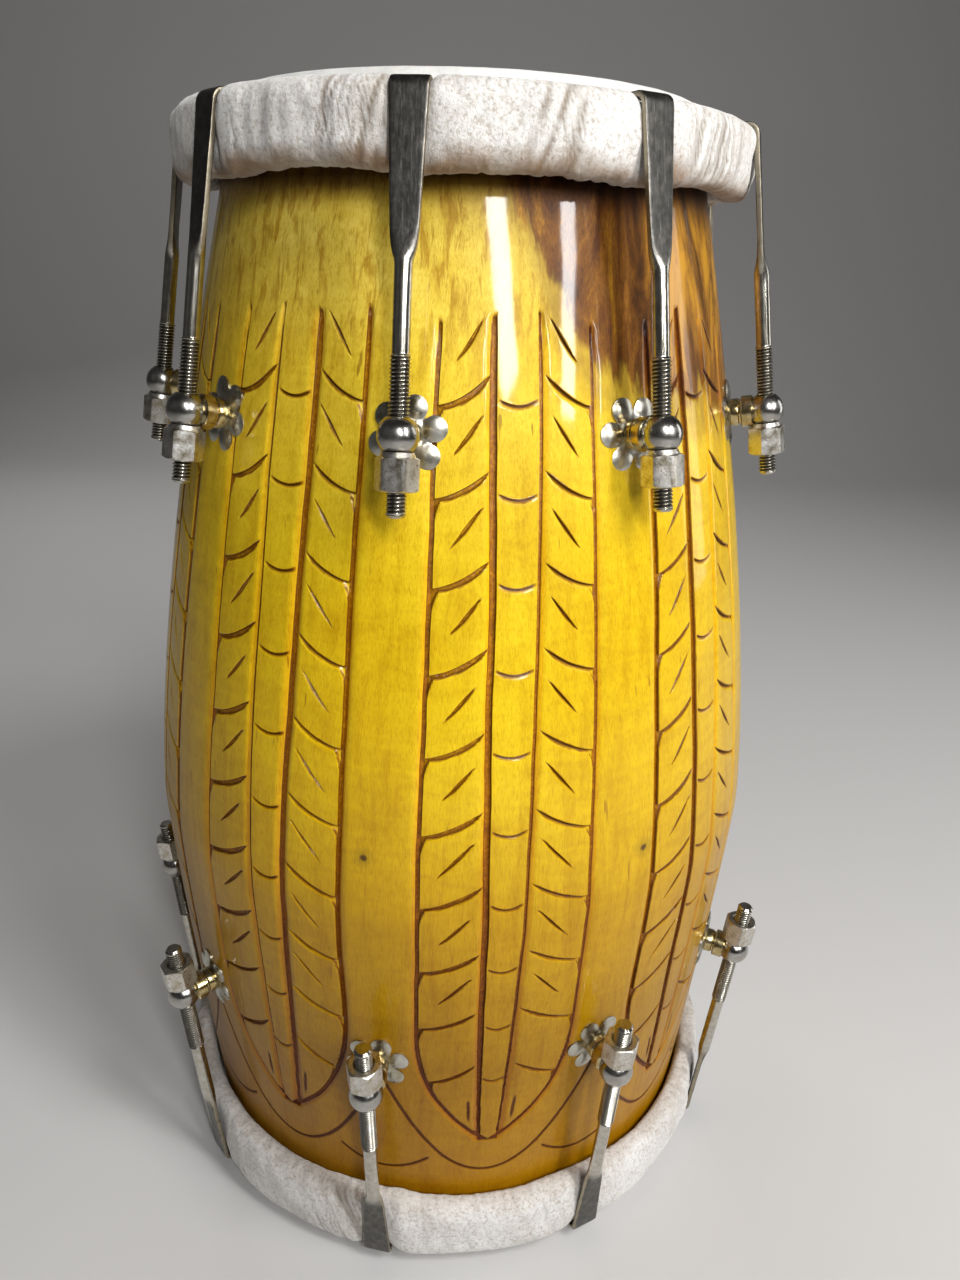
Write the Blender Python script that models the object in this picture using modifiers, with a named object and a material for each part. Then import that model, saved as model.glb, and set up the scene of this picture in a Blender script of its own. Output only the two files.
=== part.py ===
"""Dholak: a barrel drum with two heads, tuned by nine hooks and nuts at each end.

The wooden shell stands on its bass end.  At each end a skin covers the mouth, and a padded
ring round the shell holds the skin.  Nine flat hooks reach over the ring.  Each hook ends in
a threaded shank that passes through a lug on the shell, and a nut beyond the lug draws the
hook down.  Metres, +Z up the drum.  The origin is the centre of the bass head's outer face.
"""
from collections import namedtuple
from math import cos, pi, radians, sin

import bmesh
import bpy
from mathutils import Matrix, Vector

# ---- driving dimensions -------------------------------------------------------------------
HEIGHT = 0.477              # from the bass head's face to the treble head's face
BELLY_RADIUS = 0.141        # the shell's widest radius
BELLY_Z = 0.1885            # height of the widest place
TREBLE_END_RADIUS = 0.0905  # the shell's radius at the treble end
BASS_END_RADIUS = 0.124     # the shell's radius at the bass end
TREBLE_SWELL = 1.42         # power of the barrel curve above the belly
BASS_SWELL = 1.25           # power of the barrel curve below the belly
END_WALL = 0.008            # the shell's wall at its ends
BELLY_WALL = 0.014          # the shell's wall at the belly
HOOKS_PER_END = 9
GAP = 0.0004                # left between pieces that touch

SKIN = 0.0013               # thickness of a head
LIP_DEPTH = 0.003           # how far a head's edge turns down over the shell's mouth
PASTE_RADIUS = 0.045        # tuning paste inside the bass head
PASTE_THICKNESS = 0.004

THREAD_RADIUS = 0.0035
SHANK_RADIUS = 0.0029
BOLT_TIP = 0.026            # threaded end beyond the lug's centre
BLADE_HALF_WIDTH = 0.0061
BLADE_HALF_THICKNESS = 0.0011
BEND_RADIUS = 0.0033        # middle line of the bend over the ring
CLAW_LENGTH = 0.005         # straight end of the hook over the ring

STAND_OFF = 0.015           # from the shell's surface to the bolt's axis, along the lug
BALL_RADIUS = 0.007
COLLAR_RADIUS = 0.0062
WASHER_RADIUS = 0.0132
SPIGOT_RADIUS = 0.003
SPIGOT_TIP = 0.024          # from the bolt's axis to the end of the spigot in the wood
LUG_HOLE_RADIUS = 0.0045

NUT_RADIUS = 0.0075         # over its corners
NUT_HEIGHT = 0.011
NUT_SEAT = 0.0066           # from the lug's centre to the nut's near face
NUT_BORE_RADIUS = 0.0044
NUT_ANGLE_STEP = radians(23)  # each nut was left at a different angle

ROUND_STEPS = 45            # facets round the drum
SMALL_STEPS = 8             # facets round the hardware

End = namedtuple("End", "name up rim_z lug_z lean first_angle ring_in ring_out ring_near ring_far "
                        "thread_top blade_start")

# first_angle is measured from -Y towards +X.  ring_near and ring_far are depths from the rim.
# thread_top and blade_start are distances along the bolt from the lug, towards the ring.
TREBLE = End("treble", True, HEIGHT, 0.3656, radians(9.3), radians(-8.7), 0.0993, 0.1138, 0.0085, 0.0302,
             0.0245, 0.0520)
BASS = End("bass", False, 0.0, 0.1126, radians(6.0), radians(-12.3), 0.1282, 0.1392, 0.0080, 0.0345,
           0.0320, 0.0650)


# ---- shared helpers -----------------------------------------------------------------------
def clear_scene():
    for old in list(bpy.data.objects):
        bpy.data.objects.remove(old, do_unlink=True)


def make_collection(name):
    group = bpy.data.collections.new(name)
    bpy.context.scene.collection.children.link(group)
    return group


def make_material(name, colour, roughness, metallic):
    material = bpy.data.materials.new(name)
    material.use_nodes = True
    shader = material.node_tree.nodes["Principled BSDF"]
    shader.inputs["Base Color"].default_value = (*colour, 1.0)
    shader.inputs["Roughness"].default_value = roughness
    shader.inputs["Metallic"].default_value = metallic
    material.diffuse_color = (*colour, 1.0)
    return material


def add_object(name, mesh, group, material=None, matrix=None):
    item = bpy.data.objects.new(name, mesh)
    group.objects.link(item)
    if material and not mesh.materials:
        mesh.materials.append(material)
    if matrix is not None:
        item.matrix_world = matrix
    return item


def turned(name, profile, steps, group, material=None, closed=False):
    """A profile of (radius, height) points, outer side from top to bottom, turned about Z."""
    mesh = bpy.data.meshes.new(name)
    points = [(radius, 0.0, height) for radius, height in profile]
    edges = [(i, i + 1) for i in range(len(points) - 1)]
    if closed:
        edges.append((len(points) - 1, 0))
    mesh.from_pydata(points, edges, [])
    item = add_object(name, mesh, group, material)
    screw = item.modifiers.new("Turn", "SCREW")
    screw.axis = "Z"
    screw.steps = steps
    screw.render_steps = steps
    screw.use_merge_vertices = True
    screw.merge_threshold = 0.00001
    return item


def cylinder_mesh(name, radius, low, high, sides):
    """A closed cylinder or prism along Z."""
    mesh = bpy.data.meshes.new(name)
    work = bmesh.new()
    middle = Matrix.Translation((0.0, 0.0, (low + high) / 2))
    bmesh.ops.create_cone(work, cap_ends=True, segments=sides, radius1=radius, radius2=radius,
                          depth=high - low, matrix=middle)
    work.to_mesh(mesh)
    work.free()
    return mesh


def as_cutter(item):
    item.hide_render = True
    item.display_type = "WIRE"


def finished_mesh(item, name):
    """The mesh that an object's modifiers make, moved into the object's parent frame."""
    bpy.context.view_layer.update()
    ready = item.evaluated_get(bpy.context.evaluated_depsgraph_get())
    mesh = bpy.data.meshes.new_from_object(ready)
    mesh.transform(item.matrix_world)
    mesh.name = name
    bpy.data.objects.remove(item, do_unlink=True)
    return mesh


def drilled(blank, hole_mesh, name, group, cutters):
    """The blank object with a hole cut through it, as a mesh."""
    hole = add_object(name + "_hole", hole_mesh, cutters)
    as_cutter(hole)
    cut = blank.modifiers.new("Hole", "BOOLEAN")
    cut.operation = "DIFFERENCE"
    cut.solver = "EXACT"
    cut.object = hole
    mesh = finished_mesh(blank, name)
    bpy.data.objects.remove(hole, do_unlink=True)
    mesh.shade_smooth()
    mesh.set_sharp_from_angle(angle=radians(35))
    return mesh


# ---- the shell ----------------------------------------------------------------------------
def shell_radius(z):
    """The barrel's outer radius at a height."""
    if z >= BELLY_Z:
        part = (z - BELLY_Z) / (HEIGHT - BELLY_Z)
        return BELLY_RADIUS - (BELLY_RADIUS - TREBLE_END_RADIUS) * part ** TREBLE_SWELL
    part = (BELLY_Z - z) / BELLY_Z
    return BELLY_RADIUS - (BELLY_RADIUS - BASS_END_RADIUS) * part ** BASS_SWELL


def wall_thickness(z):
    """The wall, thickest at the belly."""
    reach = HEIGHT - BELLY_Z if z >= BELLY_Z else BELLY_Z
    part = abs(z - BELLY_Z) / reach
    return BELLY_WALL - (BELLY_WALL - END_WALL) * part ** 2


def shell_profile():
    """A closed loop: down the outside, then up the inside, with eased mouths."""
    low = SKIN + GAP
    high = HEIGHT - SKIN - GAP
    ease = 0.002
    outside = [high - ease - (high - low - 2 * ease) * i / 13 for i in range(14)]
    inside = [low + (high - low) * i / 7 for i in range(8)]
    loop = [(shell_radius(high) - ease, high)]
    loop += [(shell_radius(z), z) for z in outside]
    loop.append((shell_radius(low) - ease, low))
    loop += [(shell_radius(z) - wall_thickness(z), z) for z in inside]
    return loop


def make_shell(group, cutters, material):
    shell = turned("shell", shell_profile(), ROUND_STEPS, group, material, closed=True)
    hole = cylinder_mesh("lug_hole", SPIGOT_RADIUS + GAP, -SPIGOT_TIP - GAP, -STAND_OFF + 0.006,
                         SMALL_STEPS)
    hole.transform(Matrix.Rotation(pi / 2, 4, "Y"))
    for end in (TREBLE, BASS):
        for k in range(HOOKS_PER_END):
            cutter = add_object(f"{end.name}_hole_{k + 1}", hole, cutters,
                                matrix=station_matrix(end, k))
            as_cutter(cutter)
    cut = shell.modifiers.new("Lug holes", "BOOLEAN")
    cut.operation = "DIFFERENCE"
    cut.solver = "EXACT"
    cut.operand_type = "COLLECTION"
    cut.collection = cutters


# ---- heads and rings ----------------------------------------------------------------------
def from_rim(end, points):
    """Turns (radius, depth from the rim) points into (radius, z), outer side downwards."""
    if end.up:
        return [(radius, end.rim_z - depth) for radius, depth in points]
    return [(radius, end.rim_z + depth) for radius, depth in reversed(points)]


def make_head(end, group, material):
    """The playing face: a flat disc whose edge turns down over the shell's mouth."""
    mouth = shell_radius(end.rim_z)
    outer = [(0.0, 0.0), (mouth - 0.0010, 0.0), (mouth + 0.0016, 0.0011), (mouth + 0.0020, LIP_DEPTH)]
    inner = [(mouth + 0.0006, LIP_DEPTH), (mouth - 0.0012, SKIN), (0.0, SKIN)]
    turned(f"{end.name}_head", from_rim(end, outer + inner), ROUND_STEPS, group, material)


def make_ring(end, group, material):
    """The padded ring, with the skin's border that rises from it to the shell's mouth."""
    mouth = shell_radius(end.rim_z)
    centre_r = (end.ring_in + end.ring_out) / 2
    centre_d = (end.ring_near + end.ring_far) / 2
    half_r = (end.ring_out - end.ring_in) / 2
    half_d = (end.ring_far - end.ring_near) / 2
    section = [(mouth + 0.0036, LIP_DEPTH + 0.0012), (mouth + 0.0065, end.ring_near + 0.0010)]
    for i in range(8):
        turn = radians(100 - 190 * i / 7)
        across = abs(cos(turn)) ** 0.75 * (1 if cos(turn) > 0 else -1)
        along = abs(sin(turn)) ** 0.75 * (1 if sin(turn) > 0 else -1)
        section.append((centre_r + half_r * across, centre_d - half_d * along))
    section.append((end.ring_in, end.ring_far - 0.002))
    section.append((mouth + 0.0018, LIP_DEPTH + 0.0016))
    turned(f"{end.name}_ring", from_rim(end, section), ROUND_STEPS, group, material, closed=True)


def make_bass_paste(group, material):
    """The domed disc of tuning paste stuck to the inside of the bass head."""
    low = SKIN + GAP
    profile = [(0.0, low + PASTE_THICKNESS), (PASTE_RADIUS * 0.6, low + PASTE_THICKNESS * 0.85),
               (PASTE_RADIUS * 0.9, low + PASTE_THICKNESS * 0.5), (PASTE_RADIUS, low), (0.0, low)]
    turned("bass_paste", profile, 20, group, material)


# ---- tuning hardware ----------------------------------------------------------------------
def station_matrix(end, k):
    """The frame of one lug: X out along the lug, Z along the bolt towards the ring."""
    about = end.first_angle + 2 * pi * k / HOOKS_PER_END - pi / 2
    bolt_radius = shell_radius(end.lug_z) + STAND_OFF * cos(end.lean)
    rise = STAND_OFF * sin(end.lean)
    height = end.lug_z + rise if end.up else end.lug_z - rise
    flip = Matrix.Identity(4) if end.up else Matrix.Rotation(pi, 4, "X")
    return (Matrix.Rotation(about, 4, "Z") @ Matrix.Translation((bolt_radius, 0.0, height))
            @ flip @ Matrix.Rotation(-end.lean, 4, "Y"))


def lug_mesh(group, cutters):
    """A turned post: ball, collar, round washer and the spigot in the wood, drilled for the bolt."""
    arc = [radians(angle) for angle in (90, 50, 10, -30)]
    profile = [(BALL_RADIUS * cos(a), BALL_RADIUS * sin(a)) for a in arc]
    profile[0] = (0.0, BALL_RADIUS)
    profile += [(0.0045, -0.0060), (COLLAR_RADIUS, -0.0066), (COLLAR_RADIUS, -0.0127),
                (WASHER_RADIUS, -0.0127), (WASHER_RADIUS, -0.0140), (SPIGOT_RADIUS, -0.0140),
                (SPIGOT_RADIUS, -SPIGOT_TIP), (0.0, -SPIGOT_TIP)]
    blank = turned("lug_blank", profile, SMALL_STEPS, group)
    blank.matrix_world = Matrix.Rotation(pi / 2, 4, "Y")
    hole = cylinder_mesh("bolt_hole", LUG_HOLE_RADIUS, -0.012, 0.012, SMALL_STEPS)
    return drilled(blank, hole, "lug", group, cutters)


def nut_mesh(group, cutters):
    """A hexagon nut on the far side of the lug from the ring."""
    blank = add_object("nut_blank", cylinder_mesh("nut_blank", NUT_RADIUS, -NUT_SEAT - NUT_HEIGHT,
                                                  -NUT_SEAT, 6), group)
    hole = cylinder_mesh("nut_hole", NUT_BORE_RADIUS, -0.02, 0.0, 12)
    return drilled(blank, hole, "nut", group, cutters)


def hook_section(centre, across, half_width, half_thickness, squareness):
    """Eight points round a bar: a circle at squareness 1, a flat bar near 0.3."""
    points = []
    for i in range(8):
        turn = 2 * pi * (i + 0.5) / 8
        c = abs(cos(turn)) ** squareness * (1 if cos(turn) > 0 else -1)
        s = abs(sin(turn)) ** squareness * (1 if sin(turn) > 0 else -1)
        points.append(centre + across * (half_thickness * c) + Vector((0, half_width * s, 0)))
    return points


def hook_sections(end):
    """Sections from the bolt's tip to the claw over the ring, in the lug's frame."""
    claw_depth = end.ring_near - GAP - BLADE_HALF_THICKNESS
    claw_z = end.rim_z - claw_depth if end.up else end.rim_z + claw_depth
    rise = abs(claw_z - station_matrix(end, 0).translation.z)
    bend = pi / 2 - end.lean
    bend_start = ((rise + BEND_RADIUS * (1 - cos(bend)) * sin(end.lean)) / cos(end.lean)
                  - BEND_RADIUS * sin(bend))
    out = Vector((1, 0, 0))
    start = end.blade_start
    bar = [(-BOLT_TIP, THREAD_RADIUS * 0.8, THREAD_RADIUS * 0.8, 1.0),
           (-BOLT_TIP + 0.001, THREAD_RADIUS, THREAD_RADIUS, 1.0),
           (end.thread_top, THREAD_RADIUS, THREAD_RADIUS, 1.0),
           (end.thread_top + 0.0008, SHANK_RADIUS, SHANK_RADIUS, 1.0),
           (start, SHANK_RADIUS, SHANK_RADIUS, 1.0),
           (start + 0.0055, 0.0042, 0.0020, 0.6),
           (start + 0.0125, 0.0047, 0.0013, 0.3)]
    sections = [hook_section(Vector((0, 0, s)), out, width, thickness, square)
                for s, width, thickness, square in bar]
    for i in range(4):
        turn = bend * i / 3
        centre = Vector((-BEND_RADIUS * (1 - cos(turn)), 0, bend_start + BEND_RADIUS * sin(turn)))
        across = Vector((cos(turn), 0, sin(turn)))
        sections.append(hook_section(centre, across, BLADE_HALF_WIDTH, BLADE_HALF_THICKNESS, 0.3))
    forward = Vector((-sin(bend), 0, cos(bend)))
    sections.append(hook_section(centre + forward * CLAW_LENGTH, across, BLADE_HALF_WIDTH * 0.9,
                                 BLADE_HALF_THICKNESS, 0.3))
    return sections


def lofted_mesh(name, sections):
    """A closed skin through sections that all have the same number of points."""
    work = bmesh.new()
    rings = [[work.verts.new(point) for point in section] for section in sections]
    count = len(rings[0])
    for lower, upper in zip(rings, rings[1:]):
        for i in range(count):
            j = (i + 1) % count
            work.faces.new((lower[i], lower[j], upper[j], upper[i]))
    work.faces.new(list(reversed(rings[0])))
    work.faces.new(rings[-1])
    bmesh.ops.recalc_face_normals(work, faces=work.faces)
    mesh = bpy.data.meshes.new(name)
    work.to_mesh(mesh)
    work.free()
    mesh.shade_smooth()
    mesh.set_sharp_from_angle(angle=radians(40))
    return mesh


def make_hardware(end, lug, nut, group, metals):
    """Nine lugs, nuts and hooks, each a separate piece with its origin on the bolt's axis."""
    hook = lofted_mesh(f"{end.name}_hook", hook_sections(end))
    for k in range(HOOKS_PER_END):
        place = station_matrix(end, k)
        number = k + 1
        add_object(f"{end.name}_lug_{number}", lug, group, metals["lug"], place)
        add_object(f"{end.name}_nut_{number}", nut, group, metals["nut"],
                   place @ Matrix.Rotation(NUT_ANGLE_STEP * k, 4, "Z"))
        add_object(f"{end.name}_hook_{number}", hook, group, metals["hook"], place)


def main():
    clear_scene()
    group = make_collection("dholak")
    cutters = make_collection("cutters")
    shell_holes = make_collection("shell_cutters")
    wood = make_material("lacquered_wood", (0.62, 0.36, 0.05), 0.18, 0.0)
    suede = make_material("suede", (0.74, 0.69, 0.62), 0.9, 0.0)
    skin = make_material("head_skin", (0.80, 0.76, 0.68), 0.6, 0.0)
    paste = make_material("tuning_paste", (0.06, 0.05, 0.045), 0.8, 0.0)
    metals = {"lug": make_material("nickel_plate", (0.70, 0.66, 0.58), 0.3, 1.0),
              "nut": make_material("zinc_plate", (0.66, 0.63, 0.56), 0.4, 1.0),
              "hook": make_material("forged_steel", (0.36, 0.33, 0.28), 0.4, 1.0)}
    make_shell(group, shell_holes, wood)
    lug = lug_mesh(group, cutters)
    nut = nut_mesh(group, cutters)
    for end in (TREBLE, BASS):
        make_head(end, group, skin)
        make_ring(end, group, suede)
        make_hardware(end, lug, nut, group, metals)
    make_bass_paste(group, paste)


main()
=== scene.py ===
"""A dholak: a carved and lacquered barrel drum, with a padded ring and nine hook bolts at each end.

Angles round the drum are in degrees from -Y towards +X, and lengths are in metres. The drum stands
on its bass end at the origin.
"""
from collections import namedtuple
from math import cos, pi, radians, sin

import bmesh
import bpy
import numpy as np
from mathutils import Matrix, Vector


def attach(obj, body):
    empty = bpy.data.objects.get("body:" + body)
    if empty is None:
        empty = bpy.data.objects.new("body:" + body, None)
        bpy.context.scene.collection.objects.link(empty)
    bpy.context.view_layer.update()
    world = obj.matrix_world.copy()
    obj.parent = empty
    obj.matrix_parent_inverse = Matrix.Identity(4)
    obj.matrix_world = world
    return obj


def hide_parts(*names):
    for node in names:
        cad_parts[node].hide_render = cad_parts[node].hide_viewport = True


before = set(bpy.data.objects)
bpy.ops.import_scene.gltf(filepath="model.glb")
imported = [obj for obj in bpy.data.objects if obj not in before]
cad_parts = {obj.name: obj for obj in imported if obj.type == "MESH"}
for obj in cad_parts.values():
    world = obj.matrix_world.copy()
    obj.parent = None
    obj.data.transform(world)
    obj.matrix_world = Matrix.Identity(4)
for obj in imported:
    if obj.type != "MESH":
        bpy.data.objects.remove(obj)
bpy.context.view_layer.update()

# ---- the drum's shape, as in the CAD model -------------------------------------------------
HEIGHT = 0.477
BELLY_RADIUS = 0.141
BELLY_Z = 0.1885
TREBLE_END_RADIUS = 0.0905
BASS_END_RADIUS = 0.124
TREBLE_SWELL = 1.42
BASS_SWELL = 1.25
END_WALL = 0.008
BELLY_WALL = 0.014
SKIN = 0.0013                # thickness of the CAD model's heads
GAP = 0.0004                 # left between pieces that touch, as in the CAD model
MM = 0.001

HOOKS = 9
THREAD_RADIUS = 0.0035
THREAD_DEPTH = 0.00062
THREAD_PITCH = 0.00125
SHANK_RADIUS = 0.0029
BOLT_TIP = 0.026             # threaded end beyond the lug's centre
BLADE_HALF_WIDTH = 0.0061
BLADE_HALF_THICKNESS = 0.0011
BEND_RADIUS = 0.0033
CLAW_LENGTH = 0.005
STAND_OFF = 0.015            # from the shell to the bolt's axis
BALL_RADIUS = 0.007
NUT_APOTHEM = 0.0065
NUT_HEIGHT = 0.011
NUT_SEAT = 0.0066            # from the lug's centre to the nut
NUT_ANGLE_STEP = radians(23)

# ring_near and ring_far are depths below the rim, and the last two lengths are along the bolt
End = namedtuple("End", "name up rim_z lug_z lean first_angle ring_in ring_out ring_near ring_far "
                        "thread_top blade_start")
TREBLE = End(name="treble", up=True, rim_z=HEIGHT, lug_z=0.3656, lean=radians(9.3), first_angle=-8.7,
             ring_in=0.0993, ring_out=0.1138, ring_near=0.0085, ring_far=0.0302,
             thread_top=0.0245, blade_start=0.0520)
BASS = End(name="bass", up=False, rim_z=0.0, lug_z=0.1126, lean=radians(6.0), first_angle=-12.3,
           ring_in=0.1282, ring_out=0.1392, ring_near=0.0080, ring_far=0.0345,
           thread_top=0.0320, blade_start=0.0650)

# ---- the carving ---------------------------------------------------------------------------
MOTIFS = 9
MOTIF_PITCH = 360 / MOTIFS
ROW_PITCH = 0.0302           # height from one lobe of a band to the next
TOP_ROW = 0.3758             # height of the first long vein's outer end
ROWS = 10
VEIN_RISE = 0.0115           # a long vein's inner end stands this much higher
GROOVE_TOP = 0.4045          # where the upright grooves run out
LEAF_TIP = 0.066             # where the two outer grooves meet
LEAF_WIDE = 0.135            # above this height a motif has its full width
SMILE_RISE = 0.0026          # how far the ends of a nick across the strip stand above its middle
HALF_WIDTH = 13.5            # degrees from a motif's middle to its outer groove
LEAF_POWER = 2.6             # how suddenly the leaf narrows to its tip
STRIP_HEIGHT = 0.334         # over which the central strip widens
FIRST_MOTIF_ANGLE = 8.3      # of the first motif's middle, low down
MOTIF_LEAN = 1.45            # degrees that it has moved on at the top


def step(low, high, value):
    """0 below low, 1 above high, and a smooth rise between. Low may be the larger."""
    t = np.clip((value - low) / (high - low), 0.0, 1.0)
    return t * t * (3 - 2 * t)


def lattice_value(i, j, seed):
    """A repeatable value from -1 to 1 for each whole-number point."""
    h = (i * 374761393 + j * 668265263 + seed * 974634777) & 0xFFFFFFFF
    h = ((h ^ (h >> 13)) * 1274126177) & 0xFFFFFFFF
    return ((h ^ (h >> 16)) & 0xFFFF) / 32767.5 - 1.0


def smooth_noise(x, y, seed, around=0):
    """Smooth noise from -1 to 1, with features about one unit across. It repeats in x after
    around units, if that is given."""
    x, y = np.broadcast_arrays(np.asarray(x, float), np.asarray(y, float))
    i, j = np.floor(x).astype(np.int64), np.floor(y).astype(np.int64)
    fx, fy = x - i, y - j
    fx, fy = fx * fx * (3 - 2 * fx), fy * fy * (3 - 2 * fy)
    right = i + 1
    if around:
        i, right = i % around, right % around
    low = lattice_value(i, j, seed) * (1 - fx) + lattice_value(right, j, seed) * fx
    high = lattice_value(i, j + 1, seed) * (1 - fx) + lattice_value(right, j + 1, seed) * fx
    return low * (1 - fy) + high * fy


def shell_radius(z):
    """The barrel's outer radius at a height."""
    z = np.asarray(z, float)
    above = np.clip(z - BELLY_Z, 0, None) / (HEIGHT - BELLY_Z)
    below = np.clip(BELLY_Z - z, 0, None) / BELLY_Z
    return (BELLY_RADIUS - (BELLY_RADIUS - TREBLE_END_RADIUS) * above ** TREBLE_SWELL
            - (BELLY_RADIUS - BASS_END_RADIUS) * below ** BASS_SWELL)


def wall_thickness(z):
    """The wall, thickest at the belly."""
    z = np.asarray(z, float)
    part = np.where(z >= BELLY_Z, (z - BELLY_Z) / (HEIGHT - BELLY_Z), (BELLY_Z - z) / BELLY_Z)
    return BELLY_WALL - (BELLY_WALL - END_WALL) * part ** 2


def motif_middle(z):
    """The angle of the first motif's middle, which leans a little with height."""
    return FIRST_MOTIF_ANGLE + MOTIF_LEAN * (z - 0.12) / 0.28


def outer_line(z):
    """Degrees from a motif's middle to its outer groove: a leaf that closes at its tip."""
    part = np.clip((LEAF_WIDE - z) / (LEAF_WIDE - LEAF_TIP), 0, 1)
    return HALF_WIDTH * (1 - part ** LEAF_POWER)


def strip_line(z):
    """Degrees from a motif's middle to the groove beside its central strip."""
    part = np.clip((z - LEAF_TIP) / STRIP_HEIGHT, 0, 1.1)
    return 1.3 + 2.6 * part ** 0.5


def mesh_object(name, vertices, faces, materials=()):
    """A smooth mesh from arrays of corners and of four-cornered or mixed faces."""
    mesh = bpy.data.meshes.new(name)
    mesh.from_pydata(np.asarray(vertices).tolist(), [], [list(face) for face in faces])
    mesh.shade_smooth()
    obj = bpy.data.objects.new(name, mesh)
    bpy.context.scene.collection.objects.link(obj)
    for material in materials:
        mesh.materials.append(material)
    return obj


def set_values(mesh, **layers):
    """Stores a number for each corner under each name, for the materials to read."""
    for name, values in layers.items():
        layer = mesh.attributes.new(name, "FLOAT", "POINT")
        layer.data.foreach_set("value", np.asarray(values).ravel().astype(np.float32))


def circle(radius, z, turn):
    """Corners round the Z axis at a height."""
    return np.stack([radius * np.cos(turn), radius * np.sin(turn), z + 0 * turn], 1)


def full_turn(steps):
    """Evenly spaced directions, in radians."""
    return np.arange(steps) * 2 * pi / steps


def revolved(radius, z, angle):
    """Corners of a grid whose columns stand at angles round the drum."""
    turn = np.radians(angle)
    return np.stack([radius * np.sin(turn), -radius * np.cos(turn), z], 2).reshape(-1, 3)


def wrapped_faces(rows, columns, closed_rows=False):
    """Four-cornered faces of a grid whose columns run right round, and its rows too if they close."""
    index = np.arange(rows * columns).reshape(rows, columns)
    index = np.concatenate([index, index[:, :1]], 1)
    if closed_rows:
        index = np.concatenate([index, index[:1]])
    faces = np.stack([index[:-1, :-1], index[1:, :-1], index[1:, 1:], index[:-1, 1:]], 2)
    return faces.reshape(-1, 4).tolist()


def capped_tube(rings, columns):
    """Faces of a tube of rings, closed by a flat face at each end."""
    last = rings * columns - 1
    return wrapped_faces(rings, columns) + [range(columns), range(last, last - columns, -1)]


def end_fans(tips, first, last, columns):
    """Three-cornered faces round two tips, which close a tube at its first and last ring."""
    faces = []
    for i in range(columns):
        j = (i + 1) % columns
        faces.append((tips[0], first + i, first + j))
        faces.append((tips[1], last + j, last + i))
    return faces


def make_outward(mesh):
    """Turns every face outwards."""
    work = bmesh.new()
    work.from_mesh(mesh)
    bmesh.ops.recalc_face_normals(work, faces=work.faces)
    work.to_mesh(mesh)
    work.free()


def take_mesh(obj, sharp_from=None):
    """The mesh of a temporary object, which is removed."""
    mesh = obj.data
    bpy.data.objects.remove(obj, do_unlink=True)
    if sharp_from:
        mesh.set_sharp_from_angle(angle=radians(sharp_from))
    return mesh


# ---- the shell's grid ----------------------------------------------------------------------
STRIP_GROOVE_COLUMNS = (-1.3, -0.75, -0.45, 0.0, 0.5, 0.95, 1.25, 1.75, 2.1, 2.8, 3.6)
OUTER_GROOVE_COLUMNS = (-3.6, -3.0, -2.4, -1.8, -1.3, -0.9, -0.55, -0.15, 0.35, 1.0, 1.35, 2.0, 2.8)
LONG_VEIN_ROWS = (-3.1, -2.4, -1.7, -1.1, -0.6, -0.15, 0.12, 0.45, 1.0)
SHORT_VEIN_ROWS = (-2.6, -2.0, -1.4, -0.9, -0.4, 0.0, 0.4, 0.8, 1.2)
STRIP_COLUMNS = 6            # from a motif's middle to its strip groove
BAND_COLUMNS = 13            # between the two grooves
PANEL_COLUMNS = 7            # from the outer groove to the middle of the panel
LOBE_ROWS = 12               # between a long vein and the short one above it
UPPER_LOBE_ROWS = 6          # and from there to the next long vein
PLAIN_ABOVE = 0.4095         # the grid's rows are evenly spaced above the carving
FINE_BELOW = 0.108           # the grid has twice the columns below this height
FINE_ROW = 0.0005
RING_BELOW = 0.033           # below this height the bass ring covers the shell
SHORT_PHASE = 0.62           # short veins lie this part of a row above the long ones
NARROWEST = 10.0             # degrees within which the grid stops following the outer grooves
SHELL_TOP = HEIGHT - SKIN - GAP
SHELL_BOTTOM = SKIN + GAP
MOUTH_ROUNDING = 0.0012
INNER_ROWS = 12
TOOL_MARKS = 0.00008         # roughness of the cuts' floors
# the heartwood's lower edge: its height at turns round the drum
HEART_TURNS = (3, 7, 12, 18, 23, 33, 52, 63, 80, 104, 110)
HEART_EDGE = (0.50, 0.452, 0.435, 0.408, 0.395, 0.381, 0.377, 0.370, 0.38, 0.44, 0.50)


def half_columns():
    """Columns from a motif's middle to the middle of the next panel: (anchor, mm past it) pairs
    to mix, and the share of the second one. Anchors are 0 middle, 1 strip, 2 outer, 3 panel."""
    first, last = STRIP_GROOVE_COLUMNS[0], STRIP_GROOVE_COLUMNS[-1]
    near, far = OUTER_GROOVE_COLUMNS[0], OUTER_GROOVE_COLUMNS[-1]
    columns = [((0, 0.0), (1, first), i / STRIP_COLUMNS) for i in range(STRIP_COLUMNS)]
    columns += [((1, d), (1, d), 0.0) for d in STRIP_GROOVE_COLUMNS[:-1]]
    columns += [((1, last), (2, near), i / BAND_COLUMNS) for i in range(BAND_COLUMNS)]
    columns += [((2, d), (2, d), 0.0) for d in OUTER_GROOVE_COLUMNS[:-1]]
    columns += [((2, far), (3, 0.0), i / PANEL_COLUMNS) for i in range(PANEL_COLUMNS)]
    return columns


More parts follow.
